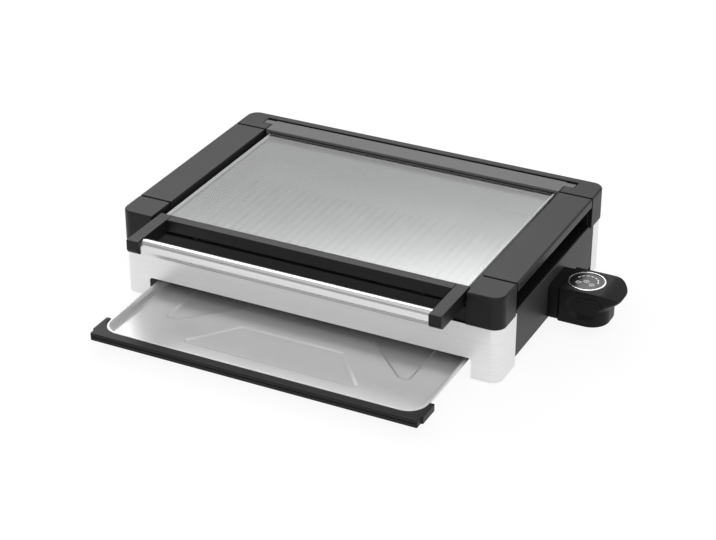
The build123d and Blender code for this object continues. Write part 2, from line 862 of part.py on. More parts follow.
def make_reflector_pan():
    """Thin pan under the heater with a drain window and a notch for the terminals."""
    half = chamber_half - reflector_gap
    y0 = chamber_front + reflector_gap
    y1 = chamber_rear - reflector_gap
    top = element_z - element_radius - bar_strip_sheet - reflector_gap / 2
    outer = bowl(half, y0, y1, top, chamber_floor, reflector_radius, reflector_slope)
    inner = bowl(half - reflector_sheet, y0 + reflector_sheet, y1 - reflector_sheet, top,
                 chamber_floor + reflector_sheet, reflector_radius - reflector_sheet, reflector_slope)
    pan = outer - inner
    drain_y = plate_front + plate_rim + rib_margin + plate_draft
    window = Box(reflector_window_length, reflector_window_width, 4 * reflector_sheet)
    pan -= Pos(0, drain_y, chamber_floor) * window
    pan -= block(half - 2 * reflector_slope, half + 1, plug_pins_y[0] - terminal_notch,
                 plug_pins_y[1] + terminal_notch, contact_z - element_radius - reflector_gap, top + 1)
    return pan


def make_terminal_socket():
    """Heat-proof socket with a shroud that the controller's plug enters."""
    y0 = socket_y - socket_width / 2
    y1 = socket_y + socket_width / 2
    outer_end = socket_back + socket_depth
    socket = block(socket_back, outer_end, y0, y1, socket_bottom, socket_top)
    socket = fillet(socket.edges().filter_by(Axis.X), socket_edge_radius)
    socket -= block(plug_tip - plug_tip_gap, outer_end + 1, y0 + socket_wall, y1 - socket_wall,
                    socket_bottom + socket_wall, socket_top - socket_wall)
    for y in plug_pins_y:
        socket -= crosswise(socket_back - 1, socket_back + contact_seat + touch_gap, y, contact_z,
                            element_radius + fit_gap)
        socket -= crosswise(socket_back - 1, outer_end, y, contact_z, pin_contact_radius + fit_gap)
    socket -= crosswise(socket_back - 1, outer_end, socket_y, probe_z, probe_radius + probe_clearance)
    return socket


def make_contact_pins():
    """Two cold pins on the ends of the heater."""
    start = socket_back + contact_seat + touch_gap / 2
    end = socket_back + socket_depth - contact_setback
    pins = []
    for y in plug_pins_y:
        pin = crosswise(start, end, y, contact_z, pin_contact_radius)
        tip = pin.edges().sort_by(Axis.X)[-1]
        pins.append(chamfer(tip, contact_point))
    return pins


def make_tray_rail(side):
    """Bent rail with a ledge under one edge of the drip tray."""
    near = socket_back - rail_ledge
    flange_far = socket_back + rail_sheet
    ledge_low = ledge_top - rail_sheet
    y0 = panel_front_end + wall + rail_end_gap
    y1 = panel_rear_end - wall - rail_end_gap
    rail = side_block(side, near, bay_half - 1, panel_front_end + 1, panel_rear_end - 1, ledge_low,
                      ledge_top)
    rail += side_block(side, near, flange_far, y0, y1, ledge_low, ledge_top)
    rail += side_block(side, socket_back, flange_far, y0, y1, ledge_low, ledge_top + rail_flange)
    for y in rail_screw_y:
        rail -= crosswise(side * (socket_back - 1), side * (flange_far + 1), y, rail_screw_z,
                          screw_radius + fit_gap)
    return rail


def make_rail_screws():
    """Screws that hold the rails to the tunnel walls."""
    screws = []
    head_near = socket_back + rail_sheet
    for side in (LEFT, RIGHT):
        for y in rail_screw_y:
            tip = bay_half + rail_screw_skin + seat_gap
            screw = crosswise(side * tip, side * head_near, y, rail_screw_z, screw_radius)
            screw += crosswise(side * head_near, side * (head_near + screw_head_height), y, rail_screw_z,
                               screw_head_radius)
            screws.append(screw)
    return screws


def make_foot_pads():
    """Soft pads under the four legs."""
    pads = []
    for x, y in foot_places:
        pad = upright(x, y, 0, foot_height, foot_radius)
        pads.append(chamfer(pad.edges().group_by(Axis.Z)[0], 0.5))
    return pads


def make_tie_screws():
    """Long screws that clamp the corner caps to the legs."""
    return [
        cap_screw(x, y, tie_head_z, tie_tip, tie_radius, tie_head_radius, tie_head_height)
        for x, y in tie_places
    ]


def make_lid_glass():
    """Flat toughened glass pane with ground edges."""
    pane = rounded_box(-glass_half, glass_half, rail_back - glass_entry, bar_front + glass_entry,
                       glass_bottom, glass_top, glass_thickness / 2)
    rims = pane.edges().group_by(Axis.Z)
    return chamfer(rims[-1] + rims[0], glass_thickness / 10)


def gasket_envelope(front):
    """Space that a gasket fills round one edge of the glass."""
    if front:
        y0, y1 = rail_back - glass_entry - gasket_wall, rail_back
    else:
        y0, y1 = bar_front, bar_front + glass_entry + gasket_wall
    return block(-glass_half, glass_half, y0, y1, glass_bottom - gasket_wall, glass_top + gasket_wall)


def make_glass_gaskets():
    """Thin channels that seat the glass in its front rail and rear bar."""
    pane = block(-glass_half - 1, glass_half + 1, rail_back - glass_entry, bar_front + glass_entry,
                 glass_bottom, glass_top)
    return [gasket_envelope(True) - pane, gasket_envelope(False) - pane]


def make_lid_front_rail():
    """Moulded rail along the front edge of the glass, between the two handle arms."""
    rail = block(-arm_inner, arm_inner, rail_front, rail_back, rail_bottom, rail_top)
    top_edges = rail.edges().filter_by(Axis.X).group_by(Axis.Z)[-1]
    rail = fillet(top_edges, rail_edge_radius)
    rail -= block(-arm_inner - 1, arm_inner + 1, rail_back - glass_entry - gasket_wall, rail_back + 1,
                  glass_bottom - gasket_wall, glass_top + gasket_wall)
    return rail


def arm_profile():
    """Side outline of a handle arm, with its rounded nose round the tube."""
    nose = tube_y - arm_nose
    with BuildSketch(Plane.YZ) as outline:
        with BuildLine():
            Polyline(
                (rail_back, rail_top), (nose, rail_top), (nose, arm_bottom),
                (rail_front - arm_slope / 2, arm_bottom), (rail_front + arm_slope / 2, rail_bottom),
                (rail_back, rail_bottom), (rail_back, rail_top),
            )
        make_face()
        nose_corners = outline.vertices().group_by(Axis.Y)[0]
        fillet(nose_corners, arm_nose * 0.55)
    return outline.sketch


def make_handle_arm(side):
    """Arm from the front rail to one end of the handle tube, with a spigot for the tube."""
    start = arm_inner if side == RIGHT else -arm_outer
    arm = Pos(start, 0, 0) * extrude(arm_profile(), arm_width)
    arm -= side_block(side, arm_inner - 1, glass_half + touch_gap, rail_back - glass_entry - gasket_wall,
                      rail_back + 1, glass_bottom - gasket_wall, glass_top + gasket_wall)
    spigot = crosswise(side * (arm_inner - spigot_length), side * (arm_inner + 1), tube_y, tube_z,
                       tube_radius - tube_wall - fit_gap)
    arm += spigot
    bore_top = rail_bottom + arm_screw_bite + seat_gap
    arm -= upright(side * arm_screw_x, arm_screw_y, rail_bottom - 1, bore_top, screw_radius + fit_gap)
    return arm


def make_arm_screws():
    """Screws under the ends of the front rail."""
    head_z = rail_bottom - screw_head_height
    return [
        cap_screw(side * arm_screw_x, arm_screw_y, head_z, rail_bottom + arm_screw_bite, screw_radius,
                  screw_head_radius, screw_head_height)
        for side in (LEFT, RIGHT)
    ]


def make_handle_tube():
    """Metal tube between the two arms."""
    tube = crosswise(-arm_inner, arm_inner, tube_y, tube_z, tube_radius)
    return tube - crosswise(-arm_inner - 1, arm_inner + 1, tube_y, tube_z, tube_radius - tube_wall)


def make_lid_rear_bar():
    """Hinge bar behind the glass with a rounded lug at each end."""
    bar = block(-bar_half, bar_half, bar_front, bar_back, bar_bottom, body_height)
    bar = fillet(bar.edges().filter_by(Axis.X).group_by(Axis.Z)[-1], bar_edge_radius)
    bar -= gasket_envelope(False)
    # Hollow underneath, with ribs
    rib_low = glass_bottom - gasket_wall - bar_skin
    reach = bar_half - bar_end_block
    channel = block(-reach, reach, bar_front + 2 * glass_entry, bar_back - wall, bar_bottom - 1,
                    body_height - wall)
    for x in bay_places(reach):
        channel -= block(x - small_rib / 2, x + small_rib / 2, bar_front, bar_back, rib_low, body_height)
    bar -= channel
    for side in (LEFT, RIGHT):
        lug = crosswise(side * (bar_half - 1), side * lug_reach, hinge_y, hinge_z, hinge_inset)
        lug += side_block(side, bar_half - 1, lug_reach, hinge_y - hinge_inset, hinge_y + hinge_inset,
                          hinge_z, body_height)
        bar += lug
        seat_end = bar_half - pin_seat_depth - seat_gap
        bar -= crosswise(side * seat_end, side * (lug_reach + 1), hinge_y, hinge_z, pin_radius + fit_gap)
    return bar


def make_hinge_pins():
    """Steel pins from the lugs of the rear bar into the bushes."""
    pins = []
    for side in (LEFT, RIGHT):
        near = bar_half - pin_seat_depth
        pin = crosswise(side * near, side * (lug_reach + bush_length), hinge_y, hinge_z, pin_radius)
        ends = pin.edges().sort_by(Axis.X)
        pins.append(chamfer([ends[0], ends[-1]], pin_radius / 5))
    return pins


def make_lid_pads():
    """Soft stops under the front rail that meet the fascia."""
    pads = []
    for x in (-pad_spacing / 2, pad_spacing / 2):
        pads.append(upright(x, (rail_front + rail_back) / 2, fascia_top + touch_gap, rail_bottom,
                            lid_pad_radius))
    return pads


def bead_outline(inset):
    """Plan outline of the tray's rolled rim, drawn in by an inset."""
    outline = RectangleRounded(tray_width - 2 * inset, bead_length - 2 * inset, tray_corner_radius - inset)
    return Pos(0, tray_middle) * outline


def sunk_pad(points, sheet, rise):
    """Sunk field in the tray's floor, a sheet below it and with its sloped sides carried up by a rise."""
    face = make_face(Polyline(*points, close=True))
    face = fillet(face.vertices(), pad_corner)
    low = offset(face, amount=sheet - pad_slope)
    top = offset(face, amount=sheet + pad_slope * rise / pad_sink)
    z_low = tray_floor - sheet - pad_sink
    z_top = tray_floor - sheet + rise
    return loft([Pos(0, tray_middle, z_low) * low, Pos(0, tray_middle, z_top) * top], ruled=True)


def tray_pads(sheet, rise):
    """The four sunk fields that leave an X of raised channels between them."""
    long_half = front_pad_long / 2
    short_half = front_pad_short / 2
    cut_corner = side_pad_outer - side_pad_cut
    pads = []
    for way in (-1, 1):
        end_pad = [
            (-long_half, way * front_pad_outer), (long_half, way * front_pad_outer),
            (short_half, way * front_pad_inner), (-short_half, way * front_pad_inner),
        ]
        pads.append(sunk_pad(end_pad, sheet, rise))
        side_pad = [
            (way * side_pad_outer, -side_pad_long / 2), (way * cut_corner, -side_pad_long / 2),
            (way * side_pad_inner, -side_pad_short / 2), (way * side_pad_inner, side_pad_short / 2),
            (way * cut_corner, side_pad_long / 2), (way * side_pad_outer, side_pad_long / 2),
        ]
        pads.append(sunk_pad(side_pad, sheet, rise))
    return pads


def make_drip_tray():
    """Pressed sheet tray with a rolled rim, sloped walls and four sunk fields in its floor."""
    inset = tray_bead_width
    ring = extrude(Pos(0, 0, bead_bottom) * (bead_outline(0) - bead_outline(inset)), tray_bead_height)
    ring = fillet(ring.edges().group_by(Axis.Z)[-1], tray_bead_width * 0.42)
    y0 = bead_front + inset
    y1 = tray_rear_edge - inset
    radius = tray_corner_radius - inset
    outer = bowl(tray_half - inset + tray_sheet, y0 - tray_sheet, y1 + tray_sheet, bead_bottom + 1.0,
                 tray_floor - tray_sheet, radius + tray_sheet, tray_draft)
    inner = bowl(tray_half - inset, y0, y1, tray_rim_top + 1.0, tray_floor, radius, tray_draft)
    for pad in tray_pads(tray_sheet, 0.2):
        outer += pad
    tray = ring + outer - inner
    for pad in tray_pads(0, 0.5):
        tray -= pad
    reach = tongue_half - seat_gap
    tongue_front = tray_front_face + strip_wall + tongue_gap
    tongue_back = bead_front + tray_bead_width / 2
    tray += block(-reach, reach, tongue_front, tongue_back, bead_bottom, bead_bottom + tray_sheet)
    for x in rivet_places:
        tray -= upright(x, rivet_y, bead_bottom - 1, bead_bottom + 2, screw_radius + fit_gap)
    return tray


def make_tray_front():
    """Moulded strip round the front edge and the front corners of the tray."""
    wing_half = bay_half - tray_side_gap
    bar_back_y = tray_front_face + strip_bar_depth
    wing_end = tray_front_face + strip_wing_length
    strip = block(-wing_half + strip_step, wing_half - strip_step, tray_front_face, bar_back_y + 1,
                  strip_bottom, strip_top)
    strip += block(-wing_half, wing_half, bar_back_y, wing_end, strip_bottom, strip_top)
    strip = fillet(strip.edges().filter_by(Axis.Z).group_by(Axis.Y)[0], strip_corner)
    strip -= extrude(bead_outline(-seat_gap / 2), strip_top + 1)
    strip -= block(-tongue_half, tongue_half, tray_front_face + strip_wall, wing_end, strip_bottom - 1,
                   bead_bottom + tray_sheet + fit_gap)
    # Shadow line along the front face
    groove_z = strip_bottom + strip_height / 2
    strip -= block(-wing_half, wing_half, tray_front_face - 1, tray_front_face + strip_groove, groove_z,
                   groove_z + strip_groove)
    for x in rivet_places:
        strip -= upright(x, rivet_y, bead_bottom, strip_top - 0.8, screw_radius + fit_gap)
    return strip


def make_tray_rivets():
    """Rivets from below through the tongue into the strip."""
    head_z = bead_bottom - rivet_head_height
    return [
        cap_screw(x, rivet_y, head_z, strip_top - 1, screw_radius, screw_head_radius, rivet_head_height)
        for x in rivet_places
    ]


def control_outline(drawn_in=0.0):
    """Plan outline of the controller with a round nose, which may be drawn in towards the heel."""
    y0 = socket_y - control_width / 2
    y1 = socket_y + control_width / 2
    x1 = control_end - drawn_in
    face = make_face(Polyline((control_shell_start, y0), (x1, y0), (x1, y1), (control_shell_start, y1),
                              close=True))
    heel = face.vertices().group_by(Axis.X)[0]
    face = fillet(heel, control_heel_radius)
    nose = face.vertices().group_by(Axis.X)[-1]
    return fillet(nose, control_nose_radius)


def nose_cutter():
    """What is taken off above the nose, so that the top falls in one arc to the lip."""
    start = (control_end - nose_slope, control_top)
    lip = (control_end, control_top - nose_lip)
    outside = control_end + nose_lip
    with BuildSketch(Plane.XZ) as profile:
        with BuildLine():
            TangentArc(start, lip, tangent=(1, 0))
            Polyline(lip, (outside, lip[1]), (outside, control_top + nose_lip),
                     (start[0], control_top + nose_lip), start)
        make_face()
    return extrude(profile.sketch, control_width * 2, both=True)


def control_body():
    """Whole outer shape of the controller before it is divided into two shells."""
    lip_z = control_top - nose_lip
    waist_z = control_bottom + control_waist
    lower = Pos(0, 0, control_bottom) * extrude(control_outline(control_undercut), control_waist)
    lower = fillet(lower.edges().group_by(Axis.Z)[0], control_foot_radius)
    sections = []
    for step in range(nose_sections + 1):
        share = step / nose_sections
        drawn_in = control_undercut * (1 + math.cos(math.pi * share)) / 2
        sections.append(Pos(0, 0, waist_z + (lip_z - waist_z) * share) * control_outline(drawn_in))
    upper = Pos(0, 0, lip_z) * extrude(control_outline(), nose_lip)
    upper = fillet(upper.edges().group_by(Axis.Z)[-1], control_edge_radius)
    upper -= nose_cutter()
    body = lower + loft(sections) + upper
    for way in (-1, 1):
        body -= grip_recess(way)
    return body


def grip_recess(way):
    """Oval thumb recess in one long face of the controller."""
    middle_x = control_shell_start + control_length / 2
    middle_z = (control_top + control_bottom) / 2 + grip_recess_lift
    face_y = socket_y + way * control_width / 2
    height = control_top - control_bottom - 2 * grip_recess_margin
    mouth = SlotOverall(grip_recess_length, height)
    floor = SlotOverall(grip_recess_length - 2 * grip_recess_slope, height - 2 * grip_recess_slope)
    y_out = face_y + way * 0.5
    y_in = face_y - way * grip_recess_depth
    plane_out = Plane(origin=(middle_x, y_out, middle_z), x_dir=(1, 0, 0), z_dir=(0, -1, 0))
    plane_in = Plane(origin=(middle_x, y_in, middle_z), x_dir=(1, 0, 0), z_dir=(0, -1, 0))
    return loft([plane_out * mouth, plane_in * floor], ruled=True)


def control_cavity():
    """Space inside the controller for its board."""
    y_half = control_width / 2 - grip_recess_depth - wall
    return rounded_box(cavity_near, cavity_far, socket_y - y_half, socket_y + y_half, control_bottom + wall,
                       control_top - display_seat - wall, cavity_corner)


def make_control_shell(upper):
    """Top or bottom shell of the controller."""
    shell = control_body() - control_cavity()
    post_top = control_top - display_seat - wall
    for x, y in control_screw_places:
        shell += upright(x, y, control_bottom + 1, post_top, screw_radius + post_wall)
        shell -= upright(x, y, control_bottom - 1, post_top - wall, screw_radius + fit_gap)
        shell -= upright(x, y, control_bottom - 1, control_bottom + seat_gap + screw_head_height,
                         screw_head_radius + fit_gap)
    far = control_end + 5
    if upper:
        shell -= block(0, far, -half_depth, half_depth, 0, control_split)
        shell -= upright(display_x, socket_y, control_top - display_seat, control_top + 1,
                         display_radius + fit_gap)
    else:
        shell -= block(0, far, -half_depth, half_depth, control_split, body_height)
        for x, y in board_posts():
            shell += upright(x, y, control_bottom + 1, board_z, post_radius)
    return shell


def board_box():
    """Low and high X and Y of the circuit board."""
    x0 = control_screw_places[0][0] + screw_radius + post_wall + board_gap
    x1 = control_screw_places[2][0] - screw_radius - post_wall - board_gap
    y_half = control_width / 2 - grip_recess_depth - wall - board_gap
    return x0, x1, socket_y - y_half, socket_y + y_half


def board_posts():
    """Posts that carry the board."""
    x0, x1, y0, y1 = board_box()
    inset = post_radius + 1.0
    return [(x, y) for x in (x0 + inset, x1 - inset) for y in (y0 + inset, y1 - inset)]


def make_circuit_board():
    """Board with the display module standing on it."""
    x0, x1, y0, y1 = board_box()
    top = board_z + board_thickness
    board = block(x0, x1, y0, y1, board_z, top)
    module_half = display_radius * 0.4
    return board + block(x0 + board_gap, x1 - board_gap, socket_y - module_half, socket_y + module_half,
                         top - seat_gap, top + module_height)


def make_display_ring():
    """Bright ring round the display."""
    ring = upright(display_x, socket_y, control_top - display_seat, control_top + ring_rise, display_radius)
    ring = chamfer(ring.edges().group_by(Axis.Z)[-1], ring_rise)
    return ring - upright(display_x, socket_y, 0, body_height, display_radius - display_ring_width)


def make_display_glass():
    """Round window of the display."""
    return upright(display_x, socket_y, control_top - display_seat, control_top - seat_gap,
                   display_radius - display_ring_width - fit_gap)


def make_control_neck():
    """Neck and plug that carry the controller in the socket."""
    half = control_width / 2 - neck_inset
    neck = block(control_start, control_shell_start, socket_y - half, socket_y + half, control_bottom + 1.0,
                 plug_top)
    neck = fillet(neck.edges().filter_by(Axis.X), neck_edge_radius)
    plug = block(plug_tip, control_start + 1, socket_y - plug_half, socket_y + plug_half, plug_bottom,
                 plug_top)
    neck += fillet(plug.edges().filter_by(Axis.X), plug_edge_radius)
    for y in plug_pins_y:
        neck -= crosswise(plug_tip - 1, control_start + sleeve_seat, y, contact_z, sleeve_radius + fit_gap)
    neck -= crosswise(plug_tip - 1, probe_seat + seat_gap, socket_y, probe_z, probe_radius + fit_gap)
    return neck


def make_contact_sleeves():
    """Spring sleeves in the plug that slide over the contact pins."""
    sleeves = []
    for y in plug_pins_y:
        sleeve = crosswise(plug_tip + touch_gap, control_start + sleeve_seat - seat_gap, y, contact_z,
                           sleeve_radius)
        sleeve -= crosswise(plug_tip - 1, control_start, y, contact_z, pin_contact_radius + touch_gap)
        sleeves.append(sleeve)
    return sleeves


def make_temperature_probe():
    """Rod that feels the heat under the cooking plate."""
    tip_x = control_start - probe_reach
    rod = crosswise(tip_x, probe_seat, socket_y, probe_z, probe_radius)
    tip = rod.edges().sort_by(Axis.X)[0]
    return fillet(tip, probe_radius * 0.8)


def make_control_screws():
    """Screws from below that close the controller."""
    return [
        cap_screw(x, y, control_bottom + seat_gap, control_top - board_drop, screw_radius,
                  screw_head_radius, screw_head_height)
        for x, y in control_screw_places
    ]


def make_cord_gland():
    """Short gland on the hidden long face of the neck, where a mains cord would enter."""
    x = (control_start + control_shell_start) / 2
    z = control_bottom + gland_rise
    y0 = socket_y + control_width / 2 - neck_inset
    collar = Pos(x, y0 + gland_length / 2, z) * Rot(90, 0, 0) * Cylinder(gland_radius, gland_length)
    bore = Pos(x, y0 + gland_length, z) * Rot(90, 0, 0) * Cylinder(gland_bore, gland_length)
    return collar - bore


def save(node, shape):
    """Moves a finished piece, or group of like pieces, to the grill's origin and writes it."""
    if isinstance(shape, list):
        solids = [solid for piece in shape for solid in piece.solids()]
    else:
        solids = list(shape.solids())
    placed = [Location(frame_shift) * solid for solid in solids]
    whole = placed[0] if len(placed) == 1 else Compound(children=placed)
    export_step(whole, f"parts/{node}.step")


def drawn_out(shape):
    """Tray pieces stand drawn out of the front at rest."""
    move = Pos(0, -tray_drawn_out, 0)
    if isinstance(shape, list):
        return [move * piece for piece in shape]
    return move * shape


def main():
    os.makedirs("parts", exist_ok=True)
    save("corner_legs", make_corner_legs())
    save("side_beam_left", make_side_beam(LEFT))
    save("side_beam_right", make_side_beam(RIGHT))
    save("chamber_side_left", make_chamber_side(LEFT))
    save("chamber_side_right", make_chamber_side(RIGHT))
    save("front_beam", make_front_beam())
    save("rear_beam", make_rear_beam())
    save("tray_stop", make_tray_stop())
    save("front_skin", make_skin(-1))
    save("rear_skin", make_skin(1))
    save("side_panel_left", make_side_panel(LEFT))
    save("side_panel_right", make_side_panel(RIGHT))
    save("front_frame", make_front_frame())
    save("rear_frame", make_rear_frame())
    save("hinge_bushes", make_hinge_bushes())
    save("slot_liner_left", make_slot_liner(LEFT))
    save("slot_liner_right", make_slot_liner(RIGHT))
    save("plate_grip_left", make_plate_grip(LEFT))
    save("plate_grip_right", make_plate_grip(RIGHT))
    save("grip_screws", make_grip_screws())
    save("grill_plate", make_grill_plate())
    save("plate_supports", make_plate_supports())
    save("heating_element", make_heating_element())
    save("element_bars", make_element_bars())
    save("reflector_pan", make_reflector_pan())
    save("terminal_socket", make_terminal_socket())
    save("contact_pins", make_contact_pins())
    save("tray_rail_left", make_tray_rail(LEFT))
    save("tray_rail_right", make_tray_rail(RIGHT))
    save("rail_screws", make_rail_screws())
    save("foot_pads", make_foot_pads())
    save("tie_screws", make_tie_screws())
    save("lid_glass", make_lid_glass())
    save("glass_gaskets", make_glass_gaskets())
    save("lid_front_rail", make_lid_front_rail())
    save("lid_rear_bar", make_lid_rear_bar())
    save("handle_arm_left", make_handle_arm(LEFT))
    save("handle_arm_right", make_handle_arm(RIGHT))
    save("handle_tube", make_handle_tube())
    save("arm_screws", make_arm_screws())
    save("hinge_pins", make_hinge_pins())
    save("lid_pads", make_lid_pads())
    save("drip_tray", drawn_out(make_drip_tray()))
    save("tray_front", drawn_out(make_tray_front()))
    save("tray_rivets", drawn_out(make_tray_rivets()))
    save("control_top_shell", make_control_shell(True))
    save("control_bottom_shell", make_control_shell(False))
    save("control_neck", make_control_neck())
    save("display_ring", make_display_ring())
    save("display_glass", make_display_glass())
    save("circuit_board", make_circuit_board())
    save("temperature_probe", make_temperature_probe())
    save("contact_sleeves", make_contact_sleeves())
    save("control_screws", make_control_screws())
    save("cord_gland", make_cord_gland())


main()
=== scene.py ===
import json
import math

import bmesh
import bpy
from bpy.props import FloatProperty, FloatVectorProperty, IntProperty, PointerProperty
from bpy.types import Operator, Panel, PropertyGroup
from mathutils import Matrix, Vector
from mathutils.bvhtree import BVHTree

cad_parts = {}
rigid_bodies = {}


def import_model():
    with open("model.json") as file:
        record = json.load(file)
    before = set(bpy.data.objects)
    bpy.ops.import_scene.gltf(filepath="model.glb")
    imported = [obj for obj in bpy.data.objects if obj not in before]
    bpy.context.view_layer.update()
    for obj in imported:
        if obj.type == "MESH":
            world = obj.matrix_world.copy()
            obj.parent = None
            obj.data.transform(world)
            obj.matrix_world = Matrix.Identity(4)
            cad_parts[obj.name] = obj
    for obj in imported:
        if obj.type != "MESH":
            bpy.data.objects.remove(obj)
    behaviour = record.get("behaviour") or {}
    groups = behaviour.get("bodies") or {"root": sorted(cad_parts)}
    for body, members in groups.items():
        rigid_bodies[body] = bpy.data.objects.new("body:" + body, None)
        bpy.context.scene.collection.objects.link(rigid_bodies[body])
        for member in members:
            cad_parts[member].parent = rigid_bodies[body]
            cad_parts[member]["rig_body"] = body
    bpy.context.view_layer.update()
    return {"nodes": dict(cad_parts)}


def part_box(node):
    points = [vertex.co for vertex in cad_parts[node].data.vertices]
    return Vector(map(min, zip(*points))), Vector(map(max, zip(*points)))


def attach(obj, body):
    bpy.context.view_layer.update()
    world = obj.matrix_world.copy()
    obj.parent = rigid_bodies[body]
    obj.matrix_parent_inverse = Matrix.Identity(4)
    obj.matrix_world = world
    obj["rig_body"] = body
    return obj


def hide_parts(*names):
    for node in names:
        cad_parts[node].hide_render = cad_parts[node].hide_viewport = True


bl_info = {
    "name": "Table grill",
    "version": (1, 0, 0),
    "blender": (4, 5, 0),
    "location": "View3D > Sidebar > Grill",
    "description": "Finishes a table grill with a hinged glass lid and sets it in a plain studio",
    "category": "Object",
}

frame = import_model()
nodes = frame["nodes"]

# The middle of the body on the table, which the camera was measured from
legs_low, legs_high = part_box("corner_legs")
body_middle = Vector(((legs_low.x + legs_high.x) / 2, (legs_low.y + legs_high.y) / 2, 0))

MM = 0.001
TUBE_WALL = 1.2 * MM
SHADING_WEIGHT = 60

# Corners this near each other are joined, and corners this near an end face belong to it
WELD_DISTANCE = 0.002 * MM
END_REACH = 0.3 * MM

# The least upright part of a normal on the pane's flat faces
PANE_FACE = 0.99

# Faces that turn by less than the first are joined, and by less than the second are shaded as one
FLAT_ANGLE = math.radians(0.4)
SMOOTH_ANGLE = math.radians(50)

# Edges that turn by more than these are rounded
EDGE_ANGLE = math.radians(35)
PRESSING_ANGLE = math.radians(24)
CASTING_ANGLE = math.radians(25)
TUBE_ANGLE = math.radians(60)

# Rounding of the edges of small pieces
FINE_EDGE = 0.1 * MM
RING_EDGE = 0.15 * MM
SMALL_EDGE = 0.2 * MM
SHELL_EDGE = 0.3 * MM

# Depth of the relief in the finishes
BRUSHING_DEPTH = 0.02 * MM
GRAIN_DEPTH = 0.01 * MM
PIT_DEPTH = 0.03 * MM
SHELL_PIT_DEPTH = 0.012 * MM
WINDOW_PIT_DEPTH = 0.002 * MM

# Share of the studio that the glass mirrors: face on, what a slant adds, and how late it adds it
MIRROR_FACE_ON = 0.07
MIRROR_ADDED = 0.95
MIRROR_POWER = 3.0

# Print on the display: its height over the window and the turn of one face of an arc
PRINT_GAP = 0.01 * MM
PRINT_TOP = 0.06 * MM
ARC_STEP = math.radians(6)

# The arc scale, clockwise from its start: each step fills a share of its place, and its line widens
SCALE_START = math.radians(160)
SCALE_SWEEP = math.radians(166)
SCALE_STEPS = 7
SCALE_FILL = 0.72
SCALE_THIN = 0.7
SCALE_THICK = 1.3

# In a sign: ring line and half a bar's width, in mark widths, and half a bar's length, in radii
SIGN_LINE = 0.5
SIGN_BAR_WIDTH = 0.3
SIGN_BAR_LENGTH = 0.55

# Signs on the display: place from its middle, and the turn of each bar inside the ring
DISPLAY_SIGNS = (
    (-8.5 * MM, -6.0 * MM, (0,)),
    (-0.4 * MM, -0.6 * MM, (math.pi / 2,)),
    (7.9 * MM, -6.0 * MM, (0, math.pi / 2)),
)

# Soft boxes face a point over the body's middle; azimuth 0 is behind it and 90 on its left, in
# degrees, with sizes in metres and power in watts
LAMP_AIM = Vector((0, 0, 0.1))
LAMP_DISTANCE = 3.0
SOFT_BOXES = (
    {"name": "soft_box_rear", "azimuth": 40, "elevation": 40.5, "roll": -6,
     "width": 2.6, "height": 1.15, "power": 32},
    {"name": "soft_box_front", "azimuth": -150, "elevation": 42, "roll": 0,
     "width": 2.6, "height": 2.0, "power": 16},
)

# Width of the camera's sensor, in millimetres
SENSOR_WIDTH = 36.0


class GrillSizes(PropertyGroup):
    """Sizes of the finish that a user would change."""

    moulding_edge: FloatProperty(
        name="Moulding edge", description="Rounding of the edges of moulded pieces",
        default=0.8 * MM, unit="LENGTH")
    joint_gap: FloatProperty(
        name="Joint gap",
        description="How far the grips and the rear bar stand back from the frame",
        default=1.6 * MM, unit="LENGTH")
    sheet_edge: FloatProperty(
        name="Sheet edge", description="Rounding of the edges of sheet and of bare metal",
        default=0.25 * MM, unit="LENGTH")
    pressing_edge: FloatProperty(
        name="Pressing edge", description="Rounding of the bends in the pressed tray",
        default=0.66 * MM, unit="LENGTH")
    casting_edge: FloatProperty(
        name="Casting edge", description="Rounding of the edges of the cooking plate",
        default=0.7 * MM, unit="LENGTH")
    glass_edge: FloatProperty(
        name="Glass edge", description="Ground edge of the glass pane",
        default=0.6 * MM, unit="LENGTH")
    edge_steps: IntProperty(
        name="Edge steps", description="Faces across a rounded edge that shows well",
        default=2, min=1, max=6)
    tube_sides: IntProperty(
        name="Tube sides", description="Faces round the handle tube",
        default=96, min=24, max=256)
    scale_radius: FloatProperty(
        name="Scale radius", description="Radius of the arc scale on the display",
        default=13.6 * MM, unit="LENGTH")
    mark_width: FloatProperty(
        name="Mark width", description="Width of the lines printed on the display",
        default=1.5 * MM, unit="LENGTH")
    sign_radius: FloatProperty(
        name="Sign radius", description="Radius of the rings round the display's signs",
        default=3.0 * MM, unit="LENGTH")
    camera_lens: FloatProperty(
        name="Lens", description="Focal length of the camera, in millimetres", default=99.74)
    camera_place: FloatVectorProperty(
        name="Camera place", description="Camera position from the middle of the body",
        default=(0.96297, -1.95582, 1.20186), subtype="TRANSLATION", unit="LENGTH")
    camera_turn: FloatVectorProperty(
        name="Camera turn", description="Azimuth, elevation and roll of the camera",
        default=(math.radians(26.471), math.radians(28.647), math.radians(0.084)),
        subtype="EULER")
    floor_glow: FloatProperty(
        name="Floor glow", description="How far the floor's own white covers the shadow on it",
        default=0.9)
    floor_reach: FloatProperty(
        name="Floor reach", description="Half the side of the floor",
        default=6.0, unit="LENGTH")


def colour_property(name, description, default):
    """A colour that the panel shows."""
    return FloatVectorProperty(
        name=name, description=description, default=default, subtype="COLOR", min=0, max=1)


